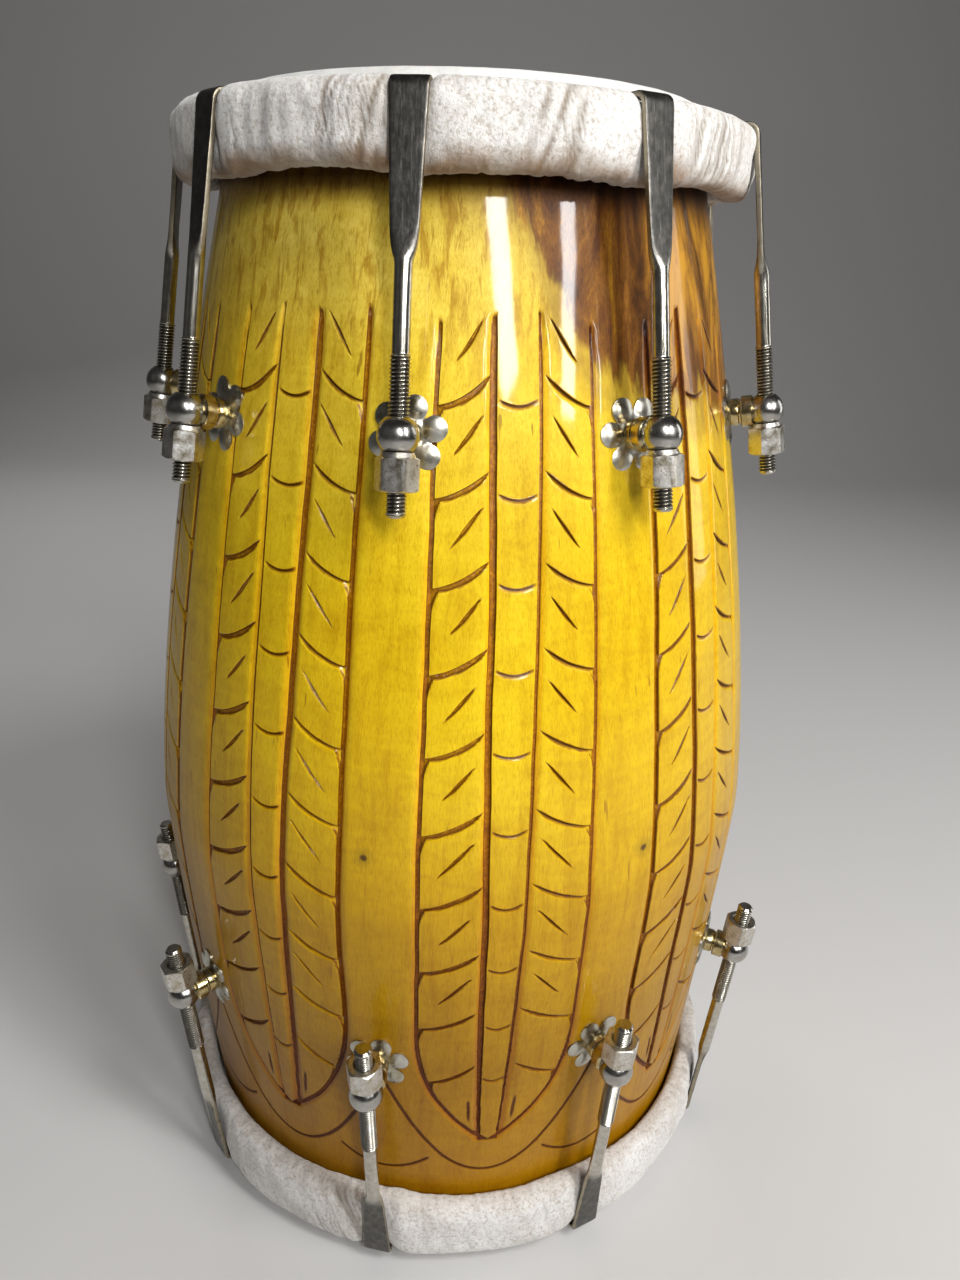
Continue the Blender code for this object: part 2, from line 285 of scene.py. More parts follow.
def grid_rows():
    """Heights of the grid's rows, before they are bent to follow the veins. Top to bottom."""
    heights = list(np.linspace(SHELL_TOP, PLAIN_ABOVE, 24))
    for j in range(-1, ROWS + 1):
        vein = TOP_ROW - ROW_PITCH * j
        short = vein + ROW_PITCH * SHORT_PHASE
        heights += [vein + d * MM for d in LONG_VEIN_ROWS]
        heights += [short + d * MM for d in SHORT_VEIN_ROWS]
        gap_ends = (vein + LONG_VEIN_ROWS[-1] * MM, short + SHORT_VEIN_ROWS[0] * MM)
        heights += list(np.linspace(*gap_ends, LOBE_ROWS + 2)[1:-1])
        gap_ends = (short + SHORT_VEIN_ROWS[-1] * MM, vein + ROW_PITCH + LONG_VEIN_ROWS[0] * MM)
        heights += list(np.linspace(*gap_ends, UPPER_LOBE_ROWS + 2)[1:-1])
    heights = [z for z in heights if FINE_BELOW < z <= PLAIN_ABOVE - 0.0015 or z >= PLAIN_ABOVE]
    heights += list(np.arange(FINE_BELOW, RING_BELOW, -FINE_ROW))
    heights += list(np.linspace(RING_BELOW, SHELL_BOTTOM, 9))
    return np.array(sorted(set(np.round(heights, 7)), reverse=True))


SHORT_SHARES = (0.0, 0.12, 0.25, 0.50, 0.76, 0.90, 1.0)
SHORT_LIFTS = (0.0, -0.0052, -0.0058, 0.0011, 0.0083, 0.0108, 0.0115)


def long_vein(share):
    """How far a long vein has risen at a share of the way from the outer groove to the strip."""
    return VEIN_RISE * share ** 1.7


def short_vein(share):
    """The same for a short vein, from its own phase of the row."""
    return np.interp(share, SHORT_SHARES, SHORT_LIFTS)


def row_bend(share, z):
    """How far a row of the grid is lifted, so that it follows the veins it passes."""
    phase = ((z - TOP_ROW) / ROW_PITCH) % 1.0
    near_short = np.where(phase < SHORT_PHASE, step(0, SHORT_PHASE, phase),
                          step(1, SHORT_PHASE, phase))
    return long_vein(share) * (1 - near_short) + short_vein(share) * near_short


def column_angles(z, radius):
    """Degrees from a motif's middle of each column on one side, for each point of z."""
    degree = radians(1) * radius
    anchors = {0: np.zeros_like(z), 1: strip_line(z), 2: np.maximum(outer_line(z), NARROWEST),
               3: np.full_like(z, MOTIF_PITCH / 2)}
    columns = half_columns()
    angles = []
    for n, (first, second, share) in enumerate(columns):
        line = [anchors[q][:, n] + mm * MM / degree[:, n] for q, mm in (first, second)]
        angles.append(line[0] * (1 - share) + line[1] * share)
    followed = np.stack(angles, 1)
    even = np.arange(len(columns)) * MOTIF_PITCH / 2 / len(columns)
    loose = step(0.125, 0.095, z)
    return followed * (1 - loose) + even * loose


def half_grid():
    """Turns and heights of the grid over half a motif: arrays of rows by columns."""
    rows = grid_rows()
    count = len(half_columns())
    z0 = np.repeat(rows[:, None], count, 1)
    z = z0.copy()
    held = step(0.072, 0.105, z0) * step(0.462, 0.408, z0)
    for _ in range(2):
        turn = column_angles(z, shell_radius(z))
        outer, strip = np.maximum(outer_line(z), NARROWEST), strip_line(z)
        share = np.clip((outer - turn) / (outer - strip), 0, 1)
        in_strip = np.clip(turn / strip, 0, 1)
        smile = SMILE_RISE * in_strip ** 2 * step(1.02, 0.86, in_strip)
        z = z0 + held * (row_bend(share, z0) + smile)
    return turn, z


# ---- the carver's cuts ---------------------------------------------------------------------
SWAG_LOW = 0.0472            # lowest point of the lines under the leaves and of the arcs beside them
SWAG_CURVE = 1.45e-4         # a swag's rise for each square degree
ARC_CURVE = 1.1e-4           # the same for a small arc
OUTER_DEPTH = 1.45           # depths are in mm
STRIP_DEPTH = 1.55
LONG_VEIN_DEPTH = 1.2
RECESS_DEPTH = 1.1
SHORT_VEIN_DEPTH = 1.05
SMILE_DEPTH = 0.9
SWAG_DEPTH = 0.8
ARC_DEPTH = 0.7
STROKE_DEPTH = 0.6
# mm past a groove's line: its first lip, the foot of its steep wall, the floor's end, the last lip
OUTER_SECTION = (-0.55, -0.15, 1.0, 1.35)
BROAD_SECTION = (-0.45, 0.0, 1.75, 2.1)
NARROW_SECTION = (-0.45, 0.0, 0.95, 1.25)


class Spot:
    """Where points of the surface lie on their motif. Turns are in degrees from its middle."""

    def __init__(self, turn, z, motif):
        self.z, self.motif = z, motif
        self.radius = shell_radius(z)
        self.degree_mm = radians(1) * self.radius / MM
        self.right = turn > 0
        self.side = np.where(self.right, 1, 0)
        self.across = np.abs(turn)
        self.outer, self.strip = outer_line(z), strip_line(z)
        wide = self.outer - self.strip
        self.band_mm = np.maximum(wide * self.degree_mm, 1.0)
        self.share = np.clip((self.outer - self.across) / np.maximum(wide, 0.2), -1, 2)
        self.inward = np.clip(self.share, 0, 1)
        self.in_leaf = step(LEAF_TIP, LEAF_TIP + 0.002, z)
        self.bold = lattice_value(motif, self.side, 23) + np.where(self.right, -0.6, 0.6) > 0

    def vary(self, row, seed):
        """A value from -1 to 1 for each cut of a row."""
        return lattice_value(self.motif * 2 + self.side, row, seed)


def slope_scale(rise):
    """Turns a height above a sloping line into the distance from it."""
    return 1 / np.sqrt(1 + rise ** 2)


def cut_profile(above, top, floor, ramp):
    """How deep a cut is, 0 to 1, by the height above its upper edge's foot, in mm."""
    return np.clip(np.minimum(1 - above / top, 1 + (above + floor) / ramp), 0, 1)


def painted_edge_shade(above):
    """A dark line along a cut's steep upper edge, partly pooled stain and partly painted shade; the rest
    of the cut stays unshaded.
    """
    return 0.46 * np.clip(1.4 - np.abs(above + 0.16) / 0.62, 0, 1)


def groove(past, section, floor_depth, floor_shade):
    """Depth and shade of a groove, both 1 at the foot of its steep wall."""
    return (np.interp(past, section, [0, 1, floor_depth, 0]),
            np.interp(past, section, [0, 1, floor_shade, 0]))


def bevel_beside(past, start, width):
    """1 at start mm past a groove's line, falling to 0 over width."""
    return np.clip(1 - (past - start) / width, 0, 1) * (past > 0)


def nearest_row(height, rows):
    """The row of cuts that a height above the lowest point of the top row belongs to."""
    return np.clip(np.round(height / ROW_PITCH), 0, rows - 1).astype(int)


def outer_groove(spot):
    """Depth, shade and bevel of the groove round a leaf, which has pointed upper ends."""
    part = np.clip((LEAF_WIDE - spot.z) / (LEAF_WIDE - LEAF_TIP), 0, 1)
    lean = HALF_WIDTH * LEAF_POWER * part ** (LEAF_POWER - 1) / (LEAF_WIDE - LEAF_TIP)
    top = GROOVE_TOP + 0.003 * lattice_value(spot.motif, spot.side, 11)
    point = np.clip((top - spot.z) / 0.016, 0, 1)
    past = (spot.across - spot.outer) * spot.degree_mm * slope_scale(lean * radians(1) * spot.radius)
    depth, shade = groove(past / (0.35 + 0.65 * point ** 0.7), OUTER_SECTION, 0.85, 0.96)
    fade = step(0, 0.25, point) * spot.in_leaf
    width = np.where((spot.motif % 3 == 2) & ~spot.right, 2.8, 1.8) * (0.1 + 0.9 * point)
    bevel = bevel_beside(past, 1.1, width) * fade
    return np.maximum(depth * fade, 0.56 * bevel) * OUTER_DEPTH, shade * fade, bevel


def strip_groove(spot):
    """The same for the grooves beside the central strip. One of a motif's two is broader, and is
    bevelled on both sides where it is the right one."""
    top = GROOVE_TOP + 0.002 + 0.002 * lattice_value(spot.motif, spot.side, 12)
    point = np.clip((top - spot.z) / 0.014, 0, 1)
    past = (spot.across - spot.strip) * spot.degree_mm
    scaled = past / (0.35 + 0.65 * point ** 0.6) / (0.55 + 0.45 * step(0.07, 0.15, spot.z))
    broad = spot.side == np.where(spot.motif % 3 == 2, 1, 0)
    depth, shade = np.where(broad, groove(scaled, BROAD_SECTION, 0.80, 0.96),
                            groove(scaled, NARROW_SECTION, 0.92, 0.90))
    fade = step(0, 0.2, point) * spot.in_leaf
    width = np.where(broad, 1.7, 2.2) * (0.12 + 0.88 * point)
    outside = bevel_beside(past, np.where(broad, 1.85, 1.1), width) * fade
    inside = bevel_beside(-past, 0.2, 2.4) * fade * (broad & spot.right)
    deepest = np.max([depth * fade, 0.60 * outside, 0.62 * inside], 0)
    return deepest * STRIP_DEPTH, shade * fade, np.maximum(outside, inside)


def long_vein_cut(spot):
    """Depth and shade of the long veins, and of the rounded corner of the lobe below each."""
    row = nearest_row(TOP_ROW + long_vein(spot.inward) - spot.z, ROWS)
    vary = spot.vary(row, 21)
    end = 0.90 + 0.03 * spot.vary(row, 22)
    rise = VEIN_RISE / MM * 1.7 * spot.inward ** 0.7 / spot.band_mm
    above = (spot.z - (TOP_ROW - ROW_PITCH * row) - long_vein(spot.inward)) / MM * slope_scale(rise)
    swell = np.interp(spot.share / end, [0, 0.15, 0.62, 0.80, 0.92, 1.0],
                      [0.70, 0.78, 1.2, 1.15, 0.65, 0.12])
    bold_cut = cut_profile(above / swell, 0.36, 0.95 + 0.25 * vary, 0.5)
    fine_cut = cut_profile(above / swell, 0.32, 0.22, 1.1 + 0.3 * vary)
    reach = np.clip((end - spot.share) / 0.05, 0, 1) * (spot.share > -0.02) * spot.in_leaf
    vein = np.where(spot.bold, bold_cut, fine_cut) * reach * LONG_VEIN_DEPTH
    vein_shade = np.where(spot.bold, bold_cut, painted_edge_shade(above / swell)) * reach
    left_over = np.clip(1 + above / (9.5 + 1.5 * vary), 0, 1)
    corner = 0.2 + 3.2 * (1 - np.sqrt(1 - left_over ** 2)) + 0.5 * left_over
    from_edge = (spot.outer - spot.across) * spot.degree_mm
    recess = np.clip((corner - from_edge) / 0.5, 0, 1) * (above < 0) * (from_edge > 0)
    recess = recess * step(0, 0.25, left_over) * spot.in_leaf
    # a dark outline round the recess where the band is not bold: partly pooled stain, partly painted
    # shade
    recess_shade = np.where(spot.bold, recess, 1.6 * recess * (1 - recess))
    return np.maximum(vein, recess * RECESS_DEPTH), np.maximum(vein_shade, recess_shade)


def short_vein_cut(spot):
    """Depth and shade of the short veins, one above each long one."""
    bent = TOP_ROW + SHORT_PHASE * ROW_PITCH + short_vein(spot.inward)
    row = nearest_row(bent - spot.z, ROWS - 1)
    first = 0.29 + 0.03 * spot.vary(row, 31)
    last = 0.77 + 0.03 * spot.vary(row, 32)
    along = np.clip((spot.share - first) / (last - first), 0, 1)
    swell = np.sin(along ** 1.15 * pi) ** 0.75
    above = (spot.z - bent + ROW_PITCH * row) / MM * slope_scale(12.7 / (0.46 * spot.band_mm))
    width = np.maximum(swell, 0.05) * np.where(spot.bold, 1.15, 0.95)
    cut = cut_profile(above / width, 0.40, 0.35, 0.75)
    ends = step(0.01, 0.10, along) * step(0.99, 0.93, along)
    ends = ends * step(LEAF_TIP + 0.024, LEAF_TIP + 0.034, spot.z)
    return cut * ends * SHORT_VEIN_DEPTH, np.where(spot.bold, cut, painted_edge_shade(above / width)) * ends


def smile_cut(spot):
    """The nicks across the strip."""
    row = nearest_row(TOP_ROW - spot.z, ROWS)
    part = spot.across / spot.strip
    above = (spot.z - (TOP_ROW - ROW_PITCH * row) - SMILE_RISE * part ** 2) / MM
    within = step(0.93, 0.70, part) * step(0.088, 0.094, spot.z)
    return cut_profile(above, 0.25, 0.12, 1.0) * within * SMILE_DEPTH, painted_edge_shade(above) * within


def stroke_cut(spot):
    """A short upright stroke on each side, below the lowest lobes."""
    gap = np.abs(spot.across - (4.2 + 30 * (spot.z - 0.086))) * spot.degree_mm
    cut = np.clip(1 - gap / 0.8, 0, 1) * step(0.078, 0.084, spot.z) * step(0.094, 0.089, spot.z)
    return cut * STROKE_DEPTH, cut


def hanging_line(spot, across, curve, half_width):
    """A thin line that hangs like a chain, by the degrees from its middle."""
    lean = 2 * curve * across / radians(1) / spot.radius
    above = (spot.z - SWAG_LOW - curve * across ** 2) / MM * slope_scale(lean)
    return cut_profile(np.abs(above), half_width, 0.0, 9.0)


def swag_cut(spot):
    """The line under each leaf."""
    cut = hanging_line(spot, spot.across, SWAG_CURVE, 0.9) * step(20.2, 19.6, spot.across)
    return cut * SWAG_DEPTH, cut


def arc_cut(spot):
    """The small arc under each panel, which ends at the swags."""
    beside = np.abs(spot.across - MOTIF_PITCH / 2)
    inside = step(0.0, 0.6, (SWAG_LOW + SWAG_CURVE * spot.across ** 2 - spot.z) / MM + 0.6)
    cut = hanging_line(spot, beside, ARC_CURVE, 0.8) * inside * step(9.0, 8.4, beside)
    return cut * ARC_DEPTH, cut


def carve(turn, z, motif):
    """Depth of the carving in metres, how dark each point of a cut is coloured (stain pooled in it and
    painted shade along its walls), and how far into the bevel beside a groove, both from 0 to 1."""
    spot = Spot(turn, z, motif)
    grooves = [outer_groove(spot), strip_groove(spot)]
    cuts = [line[:2] for line in grooves]
    others = (long_vein_cut, short_vein_cut, smile_cut, stroke_cut, swag_cut, arc_cut)
    cuts += [cut(spot) for cut in others]
    depth, shade = np.max(cuts, 0)
    return depth * MM, shade, np.max([line[2] for line in grooves], 0)


def doubled(values):
    """The same rows with a column added halfway between each two, round the whole drum."""
    after = np.concatenate([values[:, 1:], values[:, :1]], 1)
    return np.stack([values, (values + after) / 2], 2).reshape(len(values), -1)


def shell_surface():
    """The outer surface's angle, height, depth, shade and bevel: a coarse block above a fine one."""
    turn_half, z_half = half_grid()
    turn = np.concatenate([-turn_half[:, :0:-1], turn_half], 1)
    z = np.concatenate([z_half[:, :0:-1], z_half], 1)
    edge = np.full((len(turn), 1), -MOTIF_PITCH / 2)
    turn = np.concatenate([edge, turn], 1)
    z = np.concatenate([grid_rows()[:, None], z], 1)
    around = [MOTIF_PITCH * motif + turn for motif in range(MOTIFS)]
    angle, z = np.concatenate(around, 1), np.tile(z, (1, MOTIFS))
    first_fine = int(np.searchsorted(-grid_rows(), -FINE_BELOW))
    fine_angle = doubled(angle[first_fine:])
    fine_angle[:, -1] += 180
    blocks = []
    for angle, z in ((angle[:first_fine], z[:first_fine]), (fine_angle, doubled(z[first_fine:]))):
        motif = np.floor(angle / MOTIF_PITCH + 0.5).astype(int) % MOTIFS
        depth, shade, bevel = carve((angle + MOTIF_PITCH / 2) % MOTIF_PITCH - MOTIF_PITCH / 2, z, motif)
        angle = angle + motif_middle(z)
        rough = (smooth_noise(angle / 0.5, z / 0.0011, 41) * 0.6
                 + smooth_noise(angle / 1.2, z / 0.004, 42))
        depth = depth + shade * rough * TOOL_MARKS
        sway = (0.24 * smooth_noise(angle / 9, z / 0.045, 43, 40)
                + 0.07 * smooth_noise(angle / 3, z / 0.012, 44, 120))
        lift = 0.0006 * smooth_noise(angle / 8, z / 0.03, 45, 45) * step(0.44, 0.41, z)
        lift = lift * step(0.03, 0.06, z)
        blocks.append((angle + sway * step(0.03, 0.06, z), z + lift, depth, shade, bevel))
    return blocks


def heart_share(angle, z):
    """Where the dark heartwood shows, from 0 to 1, under the treble ring on one side."""
    turn = (angle + 180) % 360 - 180
    return step(-0.026, 0.020, z - np.interp(turn, HEART_TURNS, HEART_EDGE))


def stitched(first, second):
    """Faces between two closed rows of corners, of which the second may have twice the corners."""
    after_first, after_second = np.roll(first, -1), np.roll(second, -1)
    if len(first) == len(second):
        return np.stack([first, second, after_second, after_first], 1).tolist()
    return np.stack([first, second[::2], second[1::2], after_second[1::2], after_first], 1).tolist()


def make_shell(material):
    """The carved outer surface, closed by the mouths and the inner wall."""
    inner_z = np.linspace(SHELL_TOP, SHELL_BOTTOM, INNER_ROWS)[:, None]
    half = INNER_ROWS // 2
    inner_radius = shell_radius(inner_z) - wall_thickness(inner_z)
    outer, inner = [], []
    for (angle, z, depth, shade, bevel), levels in zip(shell_surface(), (slice(half), slice(half, None))):
        at_mouth = (z > SHELL_TOP - 0.0001) | (z < SHELL_BOTTOM + 0.0001)
        radius = shell_radius(z) - depth - MOUTH_ROUNDING * at_mouth
        outer.append((radius, z, angle, shade, bevel, heart_share(angle, z)))
        nothing = np.zeros((half, angle.shape[1]))
        inner.append((inner_radius[levels] + nothing, inner_z[levels] + nothing, angle[0],
                      nothing, nothing, nothing))
    rows, count = [], 0
    for _, z, *_ in outer + inner:
        rows.append(list(np.arange(z.size).reshape(z.shape) + count))
        count += z.size
    outer_rows, inner_rows = rows[0] + rows[1], rows[2] + rows[3]
    faces = []
    for first, second in zip(outer_rows[:-1], outer_rows[1:]):
        faces += stitched(first, second)
    for first, second in zip(inner_rows[:-1], inner_rows[1:]):
        faces += [face[::-1] for face in stitched(first, second)]
    faces += stitched(outer_rows[-1], inner_rows[-1])
    faces += stitched(inner_rows[0], outer_rows[0])
    corners = np.concatenate([revolved(*grid[:3]) for grid in outer + inner])
    shell = mesh_object("shell_carved", corners, faces, [material])
    # cut carries the stain pooled in the cuts together with their painted shade
    cut, bevel, heart = (np.concatenate([grid[k].ravel() for grid in outer + inner]) for k in (3, 4, 5))
    set_values(shell.data, cut=cut, bevel=bevel, heart=heart)
    shell.data.set_sharp_from_angle(angle=radians(50))
    return shell


# ---- materials -----------------------------------------------------------------------------
class Nodes:
    """Builds one material's node tree."""

    def __init__(self, name):
        self.material = bpy.data.materials.new(name)
        self.material.use_nodes = True
        self.tree = self.material.node_tree
        self.shader = self.tree.nodes["Principled BSDF"]
        self.place = self.tree.nodes.new("ShaderNodeTexCoord").outputs["Object"]

    def add(self, kind, inputs=None, **settings):
        node = self.tree.nodes.new(f"ShaderNode{kind}")
        for name, value in settings.items():
            setattr(node, name, value)
        for name, value in (inputs or {}).items():
            self.feed(node.inputs[name], value)
        return node

    def feed(self, socket, value):
        if isinstance(value, bpy.types.NodeSocket):
            self.tree.links.new(value, socket)
        elif isinstance(value, tuple) and len(value) == 3 and socket.type == "RGBA":
            socket.default_value = (*value, 1.0)
        else:
            socket.default_value = value

    def maths(self, operation, *values):
        node = self.add("Math", operation=operation)
        for i, value in enumerate(values):
            self.feed(node.inputs[i], value)
        return node.outputs[0]

    def times(self, first, second):
        return self.maths("MULTIPLY", first, second)

    def plus(self, first, second):
        return self.maths("ADD", first, second)

    def along(self, axis):
        """One coordinate of the point."""
        return self.add("SeparateXYZ", {"Vector": self.place}).outputs[axis]

    def noise(self, scale, stretch=None, detail=3.0, rough=0.55, distortion=0.0, lean=0.0):
        place = self.place
        if stretch:
            turn = (0.0, lean, 0.0)
            moved = {"Vector": place, "Rotation": turn, "Scale": stretch}
            place = self.add("Mapping", moved).outputs[0]
        node = self.add("TexNoise", {"Vector": place, "Scale": scale, "Detail": detail,
                                     "Roughness": rough, "Distortion": distortion})
        return node.outputs["Fac"]

    def ramp(self, value, *stops, smooth=False):
        node = self.add("ValToRGB", {"Fac": value})
        elements = node.color_ramp.elements
        for i, (position, colour) in enumerate(stops):
            element = elements[i] if i < 2 else elements.new(position)
            element.position = position
            element.color = (*colour, 1.0) if isinstance(colour, tuple) else (colour,) * 3 + (1.0,)
        if smooth:
            node.color_ramp.interpolation = "EASE"
        return node.outputs["Color"]

    def mix(self, share, first, second, blend="MIX"):
        node = self.add("Mix", data_type="RGBA", blend_type=blend)
        for i, value in ((0, share), (6, first), (7, second)):
            self.feed(node.inputs[i], value)
        return node.outputs[2]

    def tint(self, colour, by):
        """Multiplies one colour by another, which may be a grey value."""
        return self.mix(1.0, colour, by, "MULTIPLY")

    def shade(self, colour, value, *stops):
        """Tints a colour by a ramp over value."""
        return self.tint(colour, self.ramp(value, *stops))

    def cover(self, colour, over, value, *stops):
        """Covers a colour with another, by a share that is a ramp over value."""
        return self.mix(self.ramp(value, *stops), colour, over)

    def attribute(self, name):
        return self.add("Attribute", attribute_name=name).outputs["Fac"]

    def bump(self, height, distance, strength=1.0, normal=None):
        node = self.add("Bump", {"Height": height, "Distance": distance, "Strength": strength})
        if normal is not None:
            self.feed(node.inputs["Normal"], normal)
        return node.outputs[0]

    def surface(self, **values):
        for name, value in values.items():
            self.feed(self.shader.inputs[name.replace("_", " ")], value)
        return self.material


# angle, height and size of each knot
KNOTS = ((-13.5, 0.214, 0.0016), (32.5, 0.209, 0.0016), (151.0, 0.262, 0.0020))
PLAIN = (1.0, 1.0, 1.0)


def sapwood(n, level, fine, streak):
    """Yellow stained wood, streaked with brown at the neck. Its height ramp is partly its own tone and
    partly painted light and shade: paler at the neck, darker and more amber low down.
    """
    colour = n.ramp(n.noise(11.0, (1, 1, 0.5)), (0.30, (0.56, 0.355, 0.004)),
                    (0.50, (0.66, 0.445, 0.005)), (0.72, (0.74, 0.53, 0.010)))
    # its own tone by height (olive at the top, amber low down) mixed with painted light that makes the
    # neck paler and painted shade that darkens the wood low down
    colour = n.shade(colour, level, (0.06, (0.54, 0.36, 0.08)), (0.22, (0.48, 0.35, 0.08)),
                     (0.36, (0.69, 0.56, 0.22)), (0.50, (1.0, 0.96, 0.8)), (0.66, (1.0, 0.98, 1.3)),
                     (0.78, (1.04, 1.06, 4.0)), (0.85, (1.04, 1.14, 12.0)))
    colour = n.shade(colour, streak, (0.32, (0.86, 0.80, 0.62)), (0.50, PLAIN),
                     (0.70, (1.05, 1.07, 1.25)))
    colour = n.shade(colour, fine, (0.36, (0.84, 0.77, 0.55)), (0.50, PLAIN), (0.68, (1.05, 1.07, 1.4)))
    brown = n.noise(240.0, (1, 1, 0.05), 3.0, 0.7, 0.5)
    colour = n.mix(n.ramp(level, (0.74, 0.0), (0.83, 0.9)), colour,
                   n.tint(colour, n.ramp(brown, (0.38, (0.62, 0.48, 0.28)), (0.50, PLAIN))))
    figure = n.noise(95.0, (0.5, 0.5, 1.5), 4.0, 0.6, 1.0)
    colour = n.shade(colour, figure, (0.34, (0.93, 0.90, 0.80)), (0.62, (1.04, 1.05, 1.1)))
    fleck = n.noise(420.0, (1, 1, 0.10), 1.0, 0.4)
    return n.cover(colour, (0.22, 0.09, 0.006), fleck, (0.755, 0.0), (0.81, 0.65))


def knotted(n, colour, fine):
    """Adds the small dark knots, ragged at their edges."""
    for azimuth, z, size in KNOTS:
        turn, radius = radians(azimuth), float(shell_radius(z))
        middle = (radius * sin(turn), -radius * cos(turn), z)
        away = n.add("VectorMath", {0: n.place, 1: middle}, operation="DISTANCE").outputs["Value"]
        away = n.times(away, n.plus(n.times(fine, 1.2), 0.4))
        knot = n.ramp(n.times(away, 1 / (4 * size)), (0.14, 0.97), (0.27, 0.32), (0.9, 0.0))
        colour = n.mix(knot, colour, (0.07, 0.032, 0.005))
    return colour


def heartwood(n, colour, level, fine, streak):
    """Lays red-brown heartwood over the sapwood, on a slant at its edge, with ochre streaks that grow
    towards +X and higher up, partly painted sheen.
    """
    heart = n.attribute("heart")
    red = n.noise(46.0, (1.0, 1.0, 0.11), 5.0, 0.66, 1.5, lean=radians(11))
    dark = n.ramp(red, (0.34, (0.030, 0.009, 0.001)), (0.44, (0.095, 0.030, 0.003)),
                  (0.54, (0.19, 0.072, 0.006)), (0.62, (0.36, 0.165, 0.010)),
                  (0.74, (0.58, 0.32, 0.014)))
    dark = n.shade(dark, fine, (0.34, 0.62), (0.52, 1.0), (0.68, 1.25))
    # ochre towards +X and higher up: partly the heartwood's own streaks, partly painted sheen
    ochre_and_sheen = n.times(n.ramp(n.times(n.along("X"), 10.0), (0.54, 0.0), (0.74, 1.0)),
                   n.ramp(red, (0.40, 0.10), (0.60, 0.85)))
    ochre_and_sheen = n.times(ochre_and_sheen, n.ramp(level, (0.77, 0.25), (0.84, 1.0)))
    dark = n.mix(ochre_and_sheen, dark, (0.46, 0.22, 0.012))
    ragged = n.plus(heart, n.times(n.maths("SUBTRACT", red, 0.5), 1.9))
    ragged = n.plus(ragged, n.times(n.maths("SUBTRACT", streak, 0.5), 0.8))
    share = n.times(n.ramp(heart, (0.02, 0.0), (0.30, 1.0)),
                    n.ramp(ragged, (0.34, 0.0), (0.66, 1.0), smooth=True))
    dusky = n.times(n.ramp(heart, (0.0, 0.0), (0.22, 0.75)), n.ramp(red, (0.40, 1.0), (0.62, 0.1)))
    colour = n.mix(dusky, colour, (0.27, 0.155, 0.02))
    return n.mix(share, colour, dark)


def stained_cuts(n, colour, cut, level, worked):
    """Stain on the bevels, brightened there by painted light, and stain pooled in the cuts with painted
    shade: darkest at their edges, brown on their floors.
    """
    # tint for the bevels by height: the amber of the stain, with channels above 1 that brighten the
    # bevels as painted light
    amber_and_painted_light = n.ramp(level, (0.20, (0.92, 0.66, 0.30)), (0.50, (1.06, 0.84, 0.50)),
                   (0.76, (1.12, 0.95, 0.70)))
    bevel = n.ramp(n.attribute("bevel"), (0.05, 0.0), (0.60, 0.85))
    colour = n.mix(bevel, colour, n.tint(colour, amber_and_painted_light))
    # stain pooled in the cuts, with painted shade darkest at the edges of their walls
    pooled_stain_and_shade = n.ramp(cut, (0.0, PLAIN), (0.12, (0.74, 0.58, 0.40)), (0.42, (0.15, 0.080, 0.02)),
                    (0.70, (0.33, 0.20, 0.05)), (1.0, (0.58, 0.40, 0.16)))
    # speckled tool marks on the cut floors: the darker specks are marks, the brighter ones painted glints
    speckle_and_glints = n.ramp(worked, (0.38, (0.62, 0.50, 0.35)), (0.56, PLAIN), (0.70, (1.25, 1.25, 1.3)))
    pooled_stain_and_shade = n.mix(n.ramp(cut, (0.3, 0.0), (0.6, 1.0)), pooled_stain_and_shade, n.tint(pooled_stain_and_shade, speckle_and_glints))
    pooled_stain_and_shade = n.cover(pooled_stain_and_shade, (0.31, 0.165, 0.035), n.noise(260.0), (0.48, 0.0), (0.70, 0.75))
    return n.mix(n.ramp(cut, (0.01, 0.0), (0.06, 1.0)), colour, n.tint(colour, pooled_stain_and_shade))


def lacquered_wood():
    """Yellow stained sapwood under gloss lacquer, brown in the cuts and where heartwood shows, with
    painted shade in the cuts and a painted shadow under the treble ring.
    """
    n = Nodes("lacquered_wood")
    cut, level = n.attribute("cut"), n.times(n.along("Z"), 2.0)
    streak = n.noise(170.0, (1, 1, 0.06), 4.0, 0.62, 0.6)
    fine = n.noise(2300.0, (1, 1, 0.06), 3.0, 0.7, 0.4)
    worked = n.noise(900.0, None, 3.0, 0.7)
    colour = knotted(n, sapwood(n, level, fine, streak), fine)
    colour = heartwood(n, colour, level, fine, streak)
    # painted shadow: a dark band on the wood just under the treble ring, where the ring's shade falls
    painted_ring_shadow = n.ramp(level, (0.868, 1.0), (0.879, (0.66, 0.60, 0.54)), (0.890, (0.14, 0.09, 0.05)))
    colour = stained_cuts(n, n.tint(colour, painted_ring_shadow), cut, level, worked)
    grain = n.bump(n.plus(fine, n.times(streak, 0.6)), 0.00010, 0.4)
    chatter = n.times(worked, n.ramp(cut, (0.05, 0.0), (0.45, 1.0)))
    film = n.bump(n.noise(60.0, (1, 1, 0.35), 2.0), 0.00040, 0.35)
    film_share = n.times(n.ramp(cut, (0.05, 0.50), (0.40, 0.38)),
                         n.ramp(level, (0.10, 0.36), (0.62, 0.9), (0.84, 1.0)))
    return n.surface(Base_Color=colour, Roughness=n.ramp(cut, (0.0, 0.42), (0.5, 0.55)),
                     Normal=n.bump(chatter, 0.00045, 0.8, grain),
                     Coat_Normal=n.bump(chatter, 0.0004, 0.7, film), Coat_Weight=film_share,
                     Coat_Roughness=0.07, Coat_IOR=1.5, Specular_IOR_Level=0.15)


